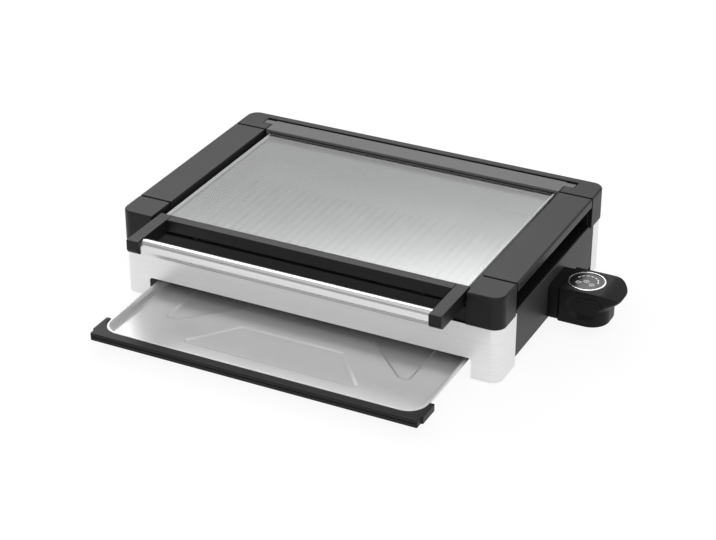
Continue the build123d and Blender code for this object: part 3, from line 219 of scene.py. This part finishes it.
class GrillColours(PropertyGroup):
    """Colours of the finish that a user would change."""

    steel: colour_property("Steel", "Brushed steel skins", (0.79, 0.79, 0.79))
    tube: colour_property("Tube", "Handle tube", (0.72, 0.72, 0.725))
    tray: colour_property("Tray", "Satin sheet of the drip tray", (0.68, 0.68, 0.685))
    frame_black: colour_property(
        "Frame", "Moulded top frame and lid bars", (0.010, 0.010, 0.0105))
    # Lighter than the frame's black: partly the rear bar's own grey, partly a painted highlight
    # standing in for the studio's sheen on it
    bar_grey_and_painted_highlight: colour_property("Rear bar", "Rear bar of the lid", (0.095, 0.095, 0.096))
    grip_black: colour_property("Grips", "Side grips", (0.014, 0.014, 0.0145))
    strip_black: colour_property(
        "Tray strip", "Strip of the drip tray", (0.009, 0.009, 0.0095))
    panel_grey: colour_property("Side panels", "Side covers", (0.030, 0.030, 0.031))
    housing_black: colour_property("Housing", "Moulded housing", (0.005, 0.005, 0.005))
    control_black: colour_property(
        "Controller", "Shells of the controller", (0.006, 0.006, 0.0065))
    plate: colour_property(
        "Cooking plate", "Coating of the cooking plate", (0.045, 0.045, 0.046))
    glass_tint: colour_property(
        "Glass tint", "Light let through by the lid glass", (0.76, 0.77, 0.765))
    glass_veil: colour_property(
        "Glass veil", "Light reflected by the lid glass", (0.95, 0.95, 0.96))
    glass_edge: colour_property("Glass edge", "Frosted edge of the lid glass", (0.70, 0.72, 0.72))
    rubber: colour_property("Rubber", "Pads, gaskets and the gland", (0.008, 0.008, 0.008))
    small_steel: colour_property("Small steel", "Screws, pins and brackets", (0.60, 0.60, 0.61))
    heater: colour_property("Heater", "Heat darkened heater tube", (0.20, 0.19, 0.18))
    reflector: colour_property("Reflector", "Reflector pan and tray rails", (0.62, 0.62, 0.63))
    socket: colour_property("Socket", "Heat-proof moulding", (0.03, 0.029, 0.028))
    ring: colour_property("Ring", "Ring round the display", (0.85, 0.85, 0.86))
    display: colour_property("Display", "Dark window of the display", (0.010, 0.010, 0.011))
    marks: colour_property("Marks", "Printed marks on the display", (0.85, 0.85, 0.86))
    board: colour_property("Board", "Circuit board", (0.02, 0.12, 0.05))
    brass: colour_property("Brass", "Contact sleeves", (0.66, 0.47, 0.2))
    floor: colour_property("Floor", "Studio floor", (0.93, 0.93, 0.93))


class Value:
    """A shader output that can be written in sums, each of which adds its Math node."""

    def __init__(self, shader, socket):
        self.shader = shader
        self.socket = socket

    def maths(self, operation, first, second):
        """Adds one Math node."""
        return self.shader.node("ShaderNodeMath", {"operation": operation}, {0: first, 1: second})

    def __add__(self, other):
        return self.maths("ADD", self, other)

    def __sub__(self, other):
        return self.maths("SUBTRACT", self, other)

    def __rsub__(self, other):
        return self.maths("SUBTRACT", other, self)

    def __mul__(self, other):
        return self.maths("MULTIPLY", self, other)

    def __pow__(self, other):
        return self.maths("POWER", self, other)

    __radd__ = __add__
    __rmul__ = __mul__


class Shader:
    """The nodes of one material or of the world."""

    def __init__(self, owner):
        self.owner = owner
        owner.use_nodes = True
        self.tree = owner.node_tree
        self.tree.nodes.clear()

    def node(self, kind, settings=None, values=None, output=0):
        """Adds a node with its settings first and then the values or links of its sockets."""
        made = self.tree.nodes.new(kind)
        for name, value in (settings or {}).items():
            setattr(made, name, value)
        for name, value in (values or {}).items():
            if isinstance(value, Value):
                self.tree.links.new(value.socket, made.inputs[name])
            else:
                made.inputs[name].default_value = value
        return Value(self, made.outputs[output]) if made.outputs else None

    def place(self, scale=(1, 1, 1)):
        """Object coordinates, scaled along each axis."""
        coordinates = self.node("ShaderNodeTexCoord", output="Object")
        return self.node("ShaderNodeMapping", {}, {"Vector": coordinates, "Scale": scale})

    def noise(self, scale, stretch=(1, 1, 1), detail=2.0, roughness=0.5):
        """Noise on object coordinates, with its scale per metre."""
        return self.node("ShaderNodeTexNoise", {"normalize": True}, {
            "Vector": self.place(stretch), "Scale": scale, "Detail": detail,
            "Roughness": roughness})

    def spread(self, value, low, high, to_low=0.0, to_high=1.0):
        """A value taken from one range to another."""
        return self.node("ShaderNodeMapRange", {"clamp": True}, {
            "Value": value, "From Min": low, "From Max": high,
            "To Min": to_low, "To Max": to_high})

    def tones(self, factor, colour, dark, light):
        """A colour that goes from a darker to a lighter tone of itself."""
        return self.node("ShaderNodeMix", {"data_type": "RGBA"}, {
            0: factor, 6: rgba(colour, dark), 7: rgba(colour, light)}, output=2)

    def bump(self, height, distance, strength=1.0):
        """A normal that follows a height in metres."""
        return self.node("ShaderNodeBump", {}, {
            "Height": height, "Distance": distance, "Strength": strength})

    def principled(self, **sockets):
        """The main surface; socket names are written with underscores."""
        named = {name.replace("_", " "): value for name, value in sockets.items()}
        return self.node("ShaderNodeBsdfPrincipled", {}, named)

    def blend(self, factor, first, second):
        """One surface shader laid over another."""
        return self.node("ShaderNodeMixShader", {}, {0: factor, 1: first, 2: second})

    def done(self, surface):
        """Joins the surface to the output and gives back the owner."""
        kind = "World" if isinstance(self.owner, bpy.types.World) else "Material"
        self.node("ShaderNodeOutput" + kind, {}, {"Surface": surface})
        return self.owner


def rgba(colour, factor=1.0):
    """A colour with full alpha, brightened or darkened by a factor."""
    return (*(min(1.0, channel * factor) for channel in colour), 1.0)


def new_shader(name):
    """An empty material to build."""
    return Shader(bpy.data.materials.new(name))


def brushed_steel(name, colour, stretch, rough, metallic=1.0, brushing=0.6):
    """Brushed metal whose fine lines run along the axes that the stretch leaves long."""
    shader = new_shader(name)
    lines = shader.noise(scale=1.0, stretch=stretch, detail=4.0, roughness=0.65)
    broad = shader.noise(scale=9.0, detail=1.0)
    tone = shader.tones(shader.spread(lines, low=0.3, high=0.7), colour, dark=0.92, light=1.05)
    roughness = lines * 0.10 + (rough - 0.05) + broad * 0.03
    normal = shader.bump(lines, BRUSHING_DEPTH, brushing)
    return shader.done(shader.principled(
        Base_Color=tone, Metallic=metallic, Roughness=roughness, Normal=normal))


def satin_metal(name, colour, rough, grain_scale=700.0, metallic=1.0, grain_strength=0.5):
    """Plain sheet metal with a fine blasted grain."""
    shader = new_shader(name)
    grain = shader.noise(scale=grain_scale, detail=3.0)
    broad = shader.noise(scale=14.0)
    tone = shader.tones(broad, colour, dark=0.95, light=1.03)
    roughness = broad * 0.06 + (rough - 0.03) + grain * 0.04
    normal = shader.bump(grain, GRAIN_DEPTH, grain_strength)
    return shader.done(shader.principled(
        Base_Color=tone, Metallic=metallic, Roughness=roughness, Normal=normal))


def moulded_plastic(name, colour, rough, grain=PIT_DEPTH, sheen=0.18):
    """Moulded plastic with a spark-eroded grain."""
    shader = new_shader(name)
    pits = shader.noise(scale=1300.0, roughness=0.6)
    handled = shader.noise(scale=22.0, detail=3.0)
    tone = shader.tones(handled, colour, dark=0.92, light=1.1)
    roughness = handled * 0.07 + (rough - 0.035) + pits * 0.05
    normal = shader.bump(pits, grain, strength=0.6)
    return shader.done(shader.principled(
        Base_Color=tone, Roughness=roughness, Normal=normal, Specular_IOR_Level=sheen))


def cast_coating(name, colour):
    """Non-stick coating with a fine speckle on a cast plate."""
    shader = new_shader(name)
    speckle = shader.node("ShaderNodeTexVoronoi", {"feature": "F1"}, {
        "Vector": shader.place(), "Scale": 1100.0}, output="Distance")
    broad = shader.noise(scale=30.0, detail=3.0)
    dots = shader.spread(speckle, low=0.12, high=0.3, to_low=1.0, to_high=0.0)
    tone = shader.tones(dots * 0.35 + broad * 0.2, colour, dark=1.0, light=1.7)
    roughness = broad * 0.08 + 0.36
    normal = shader.bump(speckle, PIT_DEPTH, strength=0.5)
    return shader.done(shader.principled(Base_Color=tone, Roughness=roughness, Normal=normal))


def soft_rubber(name, colour):
    """Matte rubber."""
    shader = new_shader(name)
    grain = shader.noise(scale=900.0, detail=3.0)
    tone = shader.tones(grain, colour, dark=0.85, light=1.25)
    normal = shader.bump(grain, PIT_DEPTH, strength=0.7)
    return shader.done(shader.principled(
        Base_Color=tone, Roughness=grain * 0.15 + 0.68, Normal=normal, Specular_IOR_Level=0.2))


def lid_pane(name, tint, veil):
    """Clear glass with a silvery layer, which mirrors the studio more at a slant."""
    shader = new_shader(name)
    smears = shader.noise(scale=7.0, detail=3.0)
    clear = shader.node("ShaderNodeBsdfTransparent", {}, {"Color": rgba(tint)})
    mirror = shader.principled(
        Base_Color=rgba(veil), Metallic=1.0, Roughness=smears * 0.03 + 0.13)
    slant = shader.node("ShaderNodeLayerWeight", {}, {"Blend": 0.5}, output="Facing")
    share = slant ** MIRROR_POWER * MIRROR_ADDED + MIRROR_FACE_ON
    return shader.done(shader.blend(share, clear, mirror))


def frosted(name, colour, scale, detail, dark, light):
    """Matte finish with a fine frost, for the pane's ground edge and the display's print."""
    shader = new_shader(name)
    frost = shader.noise(scale=scale, detail=detail)
    tone = shader.tones(frost, colour, dark, light)
    return shader.done(shader.principled(Base_Color=tone, Roughness=frost * 0.2 + 0.4))


def piece_from(mesh, name, node_names, material, body=None):
    """Makes a finished piece of a bmesh: it rides on its body and stands for the nodes named."""
    data = bpy.data.meshes.new(name)
    for face in mesh.faces:
        face.smooth = True
    for edge in mesh.edges:
        edge.smooth = edge.is_manifold and edge.calc_face_angle(0.0) < SMOOTH_ANGLE
    mesh.to_mesh(data)
    mesh.free()
    piece = bpy.data.objects.new(name, data)
    bpy.context.scene.collection.objects.link(piece)
    data.materials.append(material)
    weighted = piece.modifiers.new("even shading", "WEIGHTED_NORMAL")
    weighted.keep_sharp = True
    weighted.weight = SHADING_WEIGHT
    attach(piece, body or nodes[node_names[0]]["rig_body"])
    if node_names:
        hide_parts(*node_names)
    return piece


def welded(node):
    """A copy of a node's shape with its triangles joined into whole faces."""
    mesh = bmesh.new()
    mesh.from_mesh(nodes[node].data)
    bmesh.ops.remove_doubles(mesh, verts=mesh.verts, dist=WELD_DISTANCE)
    bmesh.ops.dissolve_limit(mesh, angle_limit=FLAT_ANGLE, use_dissolve_boundaries=False,
                             verts=mesh.verts, edges=mesh.edges, delimit={"NORMAL"})
    return mesh


def draw_in(mesh, place, distance):
    """Moves the end face that lies at a place from front to rear, so that the joint there opens."""
    for corner in mesh.verts:
        if abs(corner.co.y - place) < END_REACH:
            corner.co.y += distance


def round_edges(mesh, width, steps, angle):
    """Rounds the edges whose faces turn by more than an angle."""
    surface = BVHTree.FromBMesh(mesh)
    places = [[corner.co[axis] for corner in mesh.verts] for axis in range(3)]
    reach = [(min(values), max(values)) for values in places]
    chosen = [edge for edge in mesh.edges
              if edge.is_manifold and edge.calc_face_angle(0.0) > angle]
    bmesh.ops.bevel(mesh, geom=chosen, offset=width, offset_type="OFFSET", affect="EDGES",
                    segments=steps, profile=0.5, material=-1, clamp_overlap=False)
    # Corners that the rounding throws off the piece go back onto its surface and into its box
    for corner in mesh.verts:
        nearest, normal, face, distance = surface.find_nearest(corner.co)
        if distance > width:
            corner.co = nearest
        corner.co = [min(max(value, low), high)
                     for value, (low, high) in zip(corner.co, reach)]


def add_arc(mesh, middle, radius, width, start, sweep):
    """Adds a flat printed line that runs round part of a circle."""
    steps = max(2, round(abs(sweep) / ARC_STEP))
    corners = []
    for out, up in ((-0.5, PRINT_GAP), (0.5, PRINT_GAP), (0.5, PRINT_TOP), (-0.5, PRINT_TOP)):
        reach = radius + out * width
        offset = Vector((reach * math.cos(start), reach * math.sin(start), up))
        corners.append(mesh.verts.new(middle + offset))
    face = mesh.faces.new(corners)
    whole = abs(sweep) > 2 * math.pi - ARC_STEP / 2
    bmesh.ops.spin(mesh, geom=[face, *face.edges, *face.verts], cent=middle, axis=(0, 0, 1),
                   angle=sweep, steps=steps, use_merge=whole, use_duplicate=False)
    if whole:
        bmesh.ops.delete(mesh, geom=[face], context="FACES_ONLY")
    bmesh.ops.recalc_face_normals(mesh, faces=mesh.faces)


def add_bar(mesh, middle, half_length, half_width, turn):
    """Adds a short printed bar."""
    made = bmesh.ops.create_cube(mesh, size=2.0)["verts"]
    half_height = (PRINT_TOP - PRINT_GAP) / 2
    bmesh.ops.scale(mesh, vec=(half_length, half_width, half_height), verts=made)
    bmesh.ops.rotate(mesh, cent=(0, 0, 0), matrix=Matrix.Rotation(turn, 3, "Z"), verts=made)
    height = Vector((0, 0, (PRINT_TOP + PRINT_GAP) / 2))
    bmesh.ops.translate(mesh, vec=middle + height, verts=made)


def finish_node(node, name, material, width, steps=None, angle=EDGE_ANGLE,
                open_front=False, open_rear=False):
    """A rounded piece in the place of one node, with an open joint at an end where one shows."""
    mesh = welded(node)
    low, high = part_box(node)
    if open_front:
        draw_in(mesh, low.y, sizes().joint_gap)
    if open_rear:
        draw_in(mesh, high.y, -sizes().joint_gap)
    round_edges(mesh, width, steps or sizes().edge_steps, angle)
    return piece_from(mesh, name, [node], material)


def finish_nodes(names, ending, material, width, **settings):
    """Finishes like nodes, each under its own name with an ending."""
    for node in names:
        finish_node(node, node + ending, material, width, **settings)


def sizes():
    """Sizes that the panel shows."""
    return bpy.context.scene.grill_sizes


def colours():
    """Colours that the panel shows."""
    return bpy.context.scene.grill_colours


class GRILL_OT_skins(Operator):
    """Bent steel skins round the front and the rear"""
    bl_idname = "grill.skins"
    bl_label = "Steel skins"

    def execute(self, context):
        steel = brushed_steel(
            "skin_steel", colours().steel, stretch=(5.0, 5.0, 2400.0), rough=0.32, metallic=0.6)
        finish_nodes(("front_skin", "rear_skin"), "_sheet", steel, sizes().sheet_edge)
        return {"FINISHED"}


class GRILL_OT_side_panels(Operator):
    """Plain covers of the two sides"""
    bl_idname = "grill.side_panels"
    bl_label = "Side panels"

    def execute(self, context):
        plastic = moulded_plastic("panel_plastic", colours().panel_grey, rough=0.42)
        finish_nodes(("side_panel_left", "side_panel_right"), "_cover", plastic,
                     sizes().moulding_edge)
        return {"FINISHED"}


class GRILL_OT_housing(Operator):
    """Moulded housing with its feet"""
    bl_idname = "grill.housing"
    bl_label = "Housing and feet"

    def execute(self, context):
        plastic = moulded_plastic("housing_plastic", colours().housing_black, rough=0.5)
        finish_nodes(("corner_legs", "side_beam_left", "side_beam_right", "chamber_side_left",
                      "chamber_side_right", "front_beam", "rear_beam", "tray_stop"),
                     "_moulding", plastic, sizes().moulding_edge, steps=1)
        rubber = soft_rubber("foot_rubber", colours().rubber)
        finish_node("foot_pads", "foot_pad_set", rubber, sizes().sheet_edge)
        return {"FINISHED"}


class GRILL_OT_top_frame(Operator):
    """Moulded top frame with the linings of the hand slots"""
    bl_idname = "grill.top_frame"
    bl_label = "Top frame"

    def execute(self, context):
        plastic = moulded_plastic("frame_plastic", colours().frame_black, rough=0.36)
        finish_nodes(("front_frame", "rear_frame"), "_moulding", plastic, sizes().moulding_edge)
        lining = moulded_plastic("lining_plastic", colours().housing_black, rough=0.5)
        finish_nodes(("slot_liner_left", "slot_liner_right"), "_moulding", lining,
                     sizes().moulding_edge)
        return {"FINISHED"}


class GRILL_OT_grips(Operator):
    """Side grips of the cooking plate"""
    bl_idname = "grill.grips"
    bl_label = "Side grips"

    def execute(self, context):
        plastic = moulded_plastic("grip_plastic", colours().grip_black, rough=0.36)
        finish_nodes(("plate_grip_left", "plate_grip_right"), "_moulding", plastic,
                     sizes().moulding_edge, open_front=True, open_rear=True)
        return {"FINISHED"}


class GRILL_OT_cooking_plate(Operator):
    """Cast cooking plate with its coating"""
    bl_idname = "grill.cooking_plate"
    bl_label = "Cooking plate"

    def execute(self, context):
        coating = cast_coating("plate_coating", colours().plate)
        finish_node("grill_plate", "cooking_plate_casting", coating, sizes().casting_edge,
                    angle=CASTING_ANGLE)
        return {"FINISHED"}


class GRILL_OT_heater(Operator):
    """Heater, reflector, rails, brackets, hinge bushes, probe and socket with its contacts"""
    bl_idname = "grill.heater"
    bl_label = "Heater and socket"

    def execute(self, context):
        tone = colours()
        edge = sizes().sheet_edge
        heater = satin_metal("heater_steel", tone.heater, rough=0.5, grain_scale=400.0)
        finish_node("heating_element", "heater_tube", heater, edge)
        bright = satin_metal("reflector_metal", tone.reflector, rough=0.3)
        finish_nodes(("reflector_pan", "tray_rail_left", "tray_rail_right"), "_sheet", bright,
                     edge, steps=1)
        steel = satin_metal("bracket_steel", tone.small_steel, rough=0.34)
        finish_nodes(("element_bars", "plate_supports", "contact_pins", "temperature_probe"),
                     "_steel", steel, edge)
        moulding = moulded_plastic("socket_plastic", tone.socket, rough=0.5)
        finish_node("terminal_socket", "socket_moulding", moulding, edge)
        finish_node("hinge_bushes", "hinge_bush_set", moulding, edge, steps=1)
        brass = satin_metal("sleeve_brass", tone.brass, rough=0.3)
        finish_node("contact_sleeves", "sleeve_set", brass, edge, steps=1)
        return {"FINISHED"}


class GRILL_OT_lid_glass(Operator):
    """Flat glass pane of the lid with its gaskets and pads"""
    bl_idname = "grill.lid_glass"
    bl_label = "Lid glass"

    def execute(self, context):
        tone = colours()
        glass = lid_pane("lid_pane", tone.glass_tint, tone.glass_veil)
        pane = finish_node("lid_glass", "lid_glass_pane", glass, sizes().glass_edge)
        pane.data.materials.append(frosted(
            "ground_edge", tone.glass_edge, scale=600.0, detail=3.0, dark=0.9, light=1.05))
        for face in pane.data.polygons:
            face.material_index = 0 if abs(face.normal.z) > PANE_FACE else 1
        rubber = soft_rubber("gasket_rubber", tone.rubber)
        finish_nodes(("glass_gaskets", "lid_pads"), "_rubber", rubber, FINE_EDGE, steps=1)
        return {"FINISHED"}


class GRILL_OT_lid_bars(Operator):
    """Front rail, rear bar and the two handle arms of the lid"""
    bl_idname = "grill.lid_bars"
    bl_label = "Lid bars"

    def execute(self, context):
        edge = sizes().moulding_edge
        plastic = moulded_plastic("lid_plastic", colours().frame_black, rough=0.34)
        # The rear bar's plastic is a lighter copy of the frame's: partly its own grey, partly a
        # painted highlight
        bar_plastic = moulded_plastic(
            "rear_bar_plastic", colours().bar_grey_and_painted_highlight, rough=0.32, sheen=0.2)
        finish_node("lid_front_rail", "lid_front_rail_moulding", plastic, edge)
        finish_node("lid_rear_bar", "lid_rear_bar_moulding", bar_plastic, edge, open_rear=True)
        finish_nodes(("handle_arm_left", "handle_arm_right"), "_moulding", plastic, edge)
        return {"FINISHED"}


class GRILL_OT_handle_tube(Operator):
    """Steel handle tube of the lid"""
    bl_idname = "grill.handle_tube"
    bl_label = "Handle tube"

    def execute(self, context):
        low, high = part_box("handle_tube")
        middle = (low + high) / 2
        radius = (high.z - low.z) / 2
        steel = brushed_steel(
            "tube_steel", colours().tube, stretch=(5.0, 900.0, 900.0), rough=0.24, brushing=0.05)
        mesh = bmesh.new()
        profile = [mesh.verts.new((along, middle.y, middle.z + out)) for along, out in (
            (low.x, radius - TUBE_WALL), (low.x, radius),
            (high.x, radius), (high.x, radius - TUBE_WALL))]
        edges = [mesh.edges.new((profile[i], profile[(i + 1) % 4])) for i in range(4)]
        bmesh.ops.spin(mesh, geom=profile + edges, cent=middle, axis=(1, 0, 0),
                       angle=2 * math.pi, steps=sizes().tube_sides, use_merge=True,
                       use_duplicate=False)
        bmesh.ops.remove_doubles(mesh, verts=mesh.verts, dist=WELD_DISTANCE)
        bmesh.ops.recalc_face_normals(mesh, faces=mesh.faces)
        round_edges(mesh, sizes().sheet_edge, sizes().edge_steps, TUBE_ANGLE)
        piece_from(mesh, "handle_tube_steel", ["handle_tube"], steel)
        return {"FINISHED"}


class GRILL_OT_tray(Operator):
    """Pressed drip tray"""
    bl_idname = "grill.tray"
    bl_label = "Drip tray"

    def execute(self, context):
        metal = satin_metal(
            "tray_metal", colours().tray, rough=0.28, metallic=0.5, grain_strength=0.08)
        finish_node("drip_tray", "drip_tray_pressing", metal, sizes().pressing_edge,
                    angle=PRESSING_ANGLE)
        return {"FINISHED"}


class GRILL_OT_tray_front(Operator):
    """Moulded strip at the front of the drip tray"""
    bl_idname = "grill.tray_front"
    bl_label = "Tray strip"

    def execute(self, context):
        plastic = moulded_plastic("tray_plastic", colours().strip_black, rough=0.4)
        finish_node("tray_front", "tray_strip_moulding", plastic, sizes().moulding_edge)
        return {"FINISHED"}


class GRILL_OT_controller(Operator):
    """Shells, neck, board and cord gland of the plug-in controller"""
    bl_idname = "grill.controller"
    bl_label = "Controller"

    def execute(self, context):
        tone = colours()
        plastic = moulded_plastic("control_plastic", tone.control_black, rough=0.34,
                                  grain=SHELL_PIT_DEPTH, sheen=0.11)
        finish_nodes(("control_top_shell", "control_bottom_shell", "control_neck"), "_moulding",
                     plastic, SHELL_EDGE)
        board = moulded_plastic("board_lacquer", tone.board, rough=0.35)
        finish_node("circuit_board", "circuit_board_stack", board, FINE_EDGE, steps=1)
        rubber = soft_rubber("gland_rubber", tone.rubber)
        finish_node("cord_gland", "cord_gland_ring", rubber, SMALL_EDGE)
        return {"FINISHED"}


class GRILL_OT_display(Operator):
    """Ring, window and plain marks of the round display"""
    bl_idname = "grill.display"
    bl_label = "Display"

    def execute(self, context):
        tone = colours()
        ring = satin_metal("ring_metal", tone.ring, rough=0.16)
        finish_node("display_ring", "display_ring_metal", ring, RING_EDGE)
        window = moulded_plastic("display_window", tone.display, rough=0.12,
                                 grain=WINDOW_PIT_DEPTH, sheen=0.4)
        finish_node("display_glass", "display_window_disc", window, FINE_EDGE, steps=1)
        self.make_marks(frosted(
            "mark_print", tone.marks, scale=900.0, detail=2.0, dark=0.8, light=1.1))
        return {"FINISHED"}

    def make_marks(self, ink):
        """Prints the arc scale and the signs on the window."""
        low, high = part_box("display_glass")
        middle = Vector(((low.x + high.x) / 2, (low.y + high.y) / 2, high.z))
        size = sizes()
        mesh = bmesh.new()
        for step in range(SCALE_STEPS):
            share = step / SCALE_STEPS
            width = size.mark_width * (SCALE_THIN + (SCALE_THICK - SCALE_THIN) * share)
            add_arc(mesh, middle, size.scale_radius, width, SCALE_START - SCALE_SWEEP * share,
                    -SCALE_SWEEP * SCALE_FILL / SCALE_STEPS)
        for across, along, bars in DISPLAY_SIGNS:
            place = middle + Vector((across, along, 0))
            add_arc(mesh, place, size.sign_radius, size.mark_width * SIGN_LINE, 0, 2 * math.pi)
            for turn in bars:
                add_bar(mesh, place, size.sign_radius * SIGN_BAR_LENGTH,
                        size.mark_width * SIGN_BAR_WIDTH, turn)
        piece = piece_from(mesh, "display_mark_set", [], ink,
                           body=nodes["display_glass"]["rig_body"])


class GRILL_OT_fasteners(Operator):
    """Screws, rivets and hinge pins"""
    bl_idname = "grill.fasteners"
    bl_label = "Fasteners"

    def execute(self, context):
        steel = satin_metal("screw_steel", colours().small_steel, rough=0.3)
        finish_nodes(("grip_screws", "rail_screws", "tie_screws", "arm_screws", "tray_rivets",
                      "control_screws", "hinge_pins"), "_steel", steel, SMALL_EDGE, steps=1)
        return {"FINISHED"}


def seen_directly(shader):
    """One for what is seen, also in mirrors and through glass, and nought for other light."""
    camera, glossy, through = (
        shader.node("ShaderNodeLightPath", output=name)
        for name in ("Is Camera Ray", "Is Glossy Ray", "Is Transmission Ray"))
    return camera.maths("MINIMUM", camera + glossy + through, 1.0)


def add_soft_box(name, azimuth, elevation, roll, width, height, power):
    """A soft box that faces the body, with its angles in degrees."""
    turn = math.radians(azimuth)
    rise = math.radians(elevation)
    away = Vector((
        -math.sin(turn) * math.cos(rise), math.cos(turn) * math.cos(rise), math.sin(rise)))
    data = bpy.data.lights.new(name, "AREA")
    data.shape = "RECTANGLE"
    data.size = width
    data.size_y = height
    data.energy = power
    lamp = bpy.data.objects.new(name, data)
    bpy.context.scene.collection.objects.link(lamp)
    lamp.location = body_middle + LAMP_AIM + away * LAMP_DISTANCE
    facing = (-away).to_track_quat("-Z", "Y").to_matrix()
    lamp.rotation_euler = (facing @ Matrix.Rotation(math.radians(roll), 3, "Z")).to_euler()


def camera_turning(azimuth, elevation, roll):
    """Turning of a camera that looks along +Y at azimuth 0 and down by its elevation."""
    ahead = Vector((-math.sin(azimuth) * math.cos(elevation),
                    math.cos(azimuth) * math.cos(elevation), -math.sin(elevation)))
    level = ahead.cross(Vector((0, 0, 1))).normalized()
    upward = level.cross(ahead)
    right = level * math.cos(roll) + upward * math.sin(roll)
    up = upward * math.cos(roll) - level * math.sin(roll)
    return Matrix((right, up, -ahead)).transposed()


class GRILL_OT_stage(Operator):
    """Pale floor, soft lamps, studio sky and the camera"""
    bl_idname = "grill.stage"
    bl_label = "Studio"

    def execute(self, context):
        self.make_floor()
        self.make_sky(context.scene)
        for box in SOFT_BOXES:
            add_soft_box(**box)
        self.make_camera(context.scene)
        context.scene.view_settings.view_transform = "Standard"
        return {"FINISHED"}

    def make_floor(self):
        """A pale floor that keeps the grill's shadow."""
        mesh = bmesh.new()
        bmesh.ops.create_grid(mesh, x_segments=1, y_segments=1, size=sizes().floor_reach)
        data = bpy.data.meshes.new("studio_floor")
        mesh.to_mesh(data)
        mesh.free()
        floor = bpy.data.objects.new("studio_floor", data)
        bpy.context.scene.collection.objects.link(floor)
        shader = new_shader("studio_floor")
        white = shader.node("ShaderNodeEmission", {}, {"Color": (1, 1, 1, 1), "Strength": 1.0})
        paint = shader.principled(
            Base_Color=rgba(colours().floor), Roughness=0.9, Specular_IOR_Level=0.1)
        both = shader.blend(seen_directly(shader) * sizes().floor_glow, paint, white)
        data.materials.append(shader.done(both))

    def make_sky(self, scene):
        """A sky that is white low down where it is seen, dimmer above, and lights evenly."""
        world = bpy.data.worlds.new("studio_sky")
        scene.world = world
        shader = Shader(world)
        direction = shader.node("ShaderNodeTexCoord", output="Generated")
        height = shader.node("ShaderNodeSeparateXYZ", {}, {0: direction}, output="Z")
        dip = shader.spread(height, low=0.60, high=0.70, to_low=1.0, to_high=0.30)
        dome = shader.spread(height, low=0.84, high=0.94, to_high=0.7) + dip
        overhead = shader.spread(height, low=0.0, high=0.8, to_low=0.7)
        seen = seen_directly(shader)
        strength = seen * dome + (1 - seen) * overhead
        shader.done(shader.node("ShaderNodeBackground", {}, {
            "Color": (1, 1, 1, 1), "Strength": strength}))

    def make_camera(self, scene):
        """The photograph's camera."""
        size = sizes()
        data = bpy.data.cameras.new("studio_camera")
        data.lens = size.camera_lens
        data.sensor_width = SENSOR_WIDTH
        camera = bpy.data.objects.new("studio_camera", data)
        scene.collection.objects.link(camera)
        camera.matrix_world = (Matrix.Translation(body_middle + Vector(size.camera_place))
                               @ camera_turning(*size.camera_turn).to_4x4())
        scene.camera = camera


STEPS = (
    GRILL_OT_skins, GRILL_OT_side_panels, GRILL_OT_housing, GRILL_OT_top_frame, GRILL_OT_grips,
    GRILL_OT_cooking_plate, GRILL_OT_heater, GRILL_OT_lid_glass, GRILL_OT_lid_bars,
    GRILL_OT_handle_tube, GRILL_OT_tray, GRILL_OT_tray_front, GRILL_OT_controller,
    GRILL_OT_display, GRILL_OT_fasteners, GRILL_OT_stage,
)


class GRILL_PT_panel(Panel):
    """Lists the steps, sizes and colours of the grill"""
    bl_idname = "GRILL_PT_panel"
    bl_label = "Table grill"
    bl_space_type = "VIEW_3D"
    bl_region_type = "UI"
    bl_category = "Grill"

    def draw(self, context):
        layout = self.layout
        for step in STEPS:
            layout.operator(step.bl_idname, text=step.bl_label)
        for group in (context.scene.grill_sizes, context.scene.grill_colours):
            box = layout.box()
            for name in group.__annotations__:
                box.prop(group, name)


CLASSES = (GrillSizes, GrillColours, *STEPS, GRILL_PT_panel)


def register():
    for kind in CLASSES:
        bpy.utils.register_class(kind)
    bpy.types.Scene.grill_sizes = PointerProperty(type=GrillSizes)
    bpy.types.Scene.grill_colours = PointerProperty(type=GrillColours)


def unregister():
    del bpy.types.Scene.grill_colours
    del bpy.types.Scene.grill_sizes
    for kind in reversed(CLASSES):
        bpy.utils.unregister_class(kind)


def main():
    register()
    for step in STEPS:
        group, name = step.bl_idname.split(".")
        getattr(getattr(bpy.ops, group), name)()


if __name__ == "__main__":
    main()
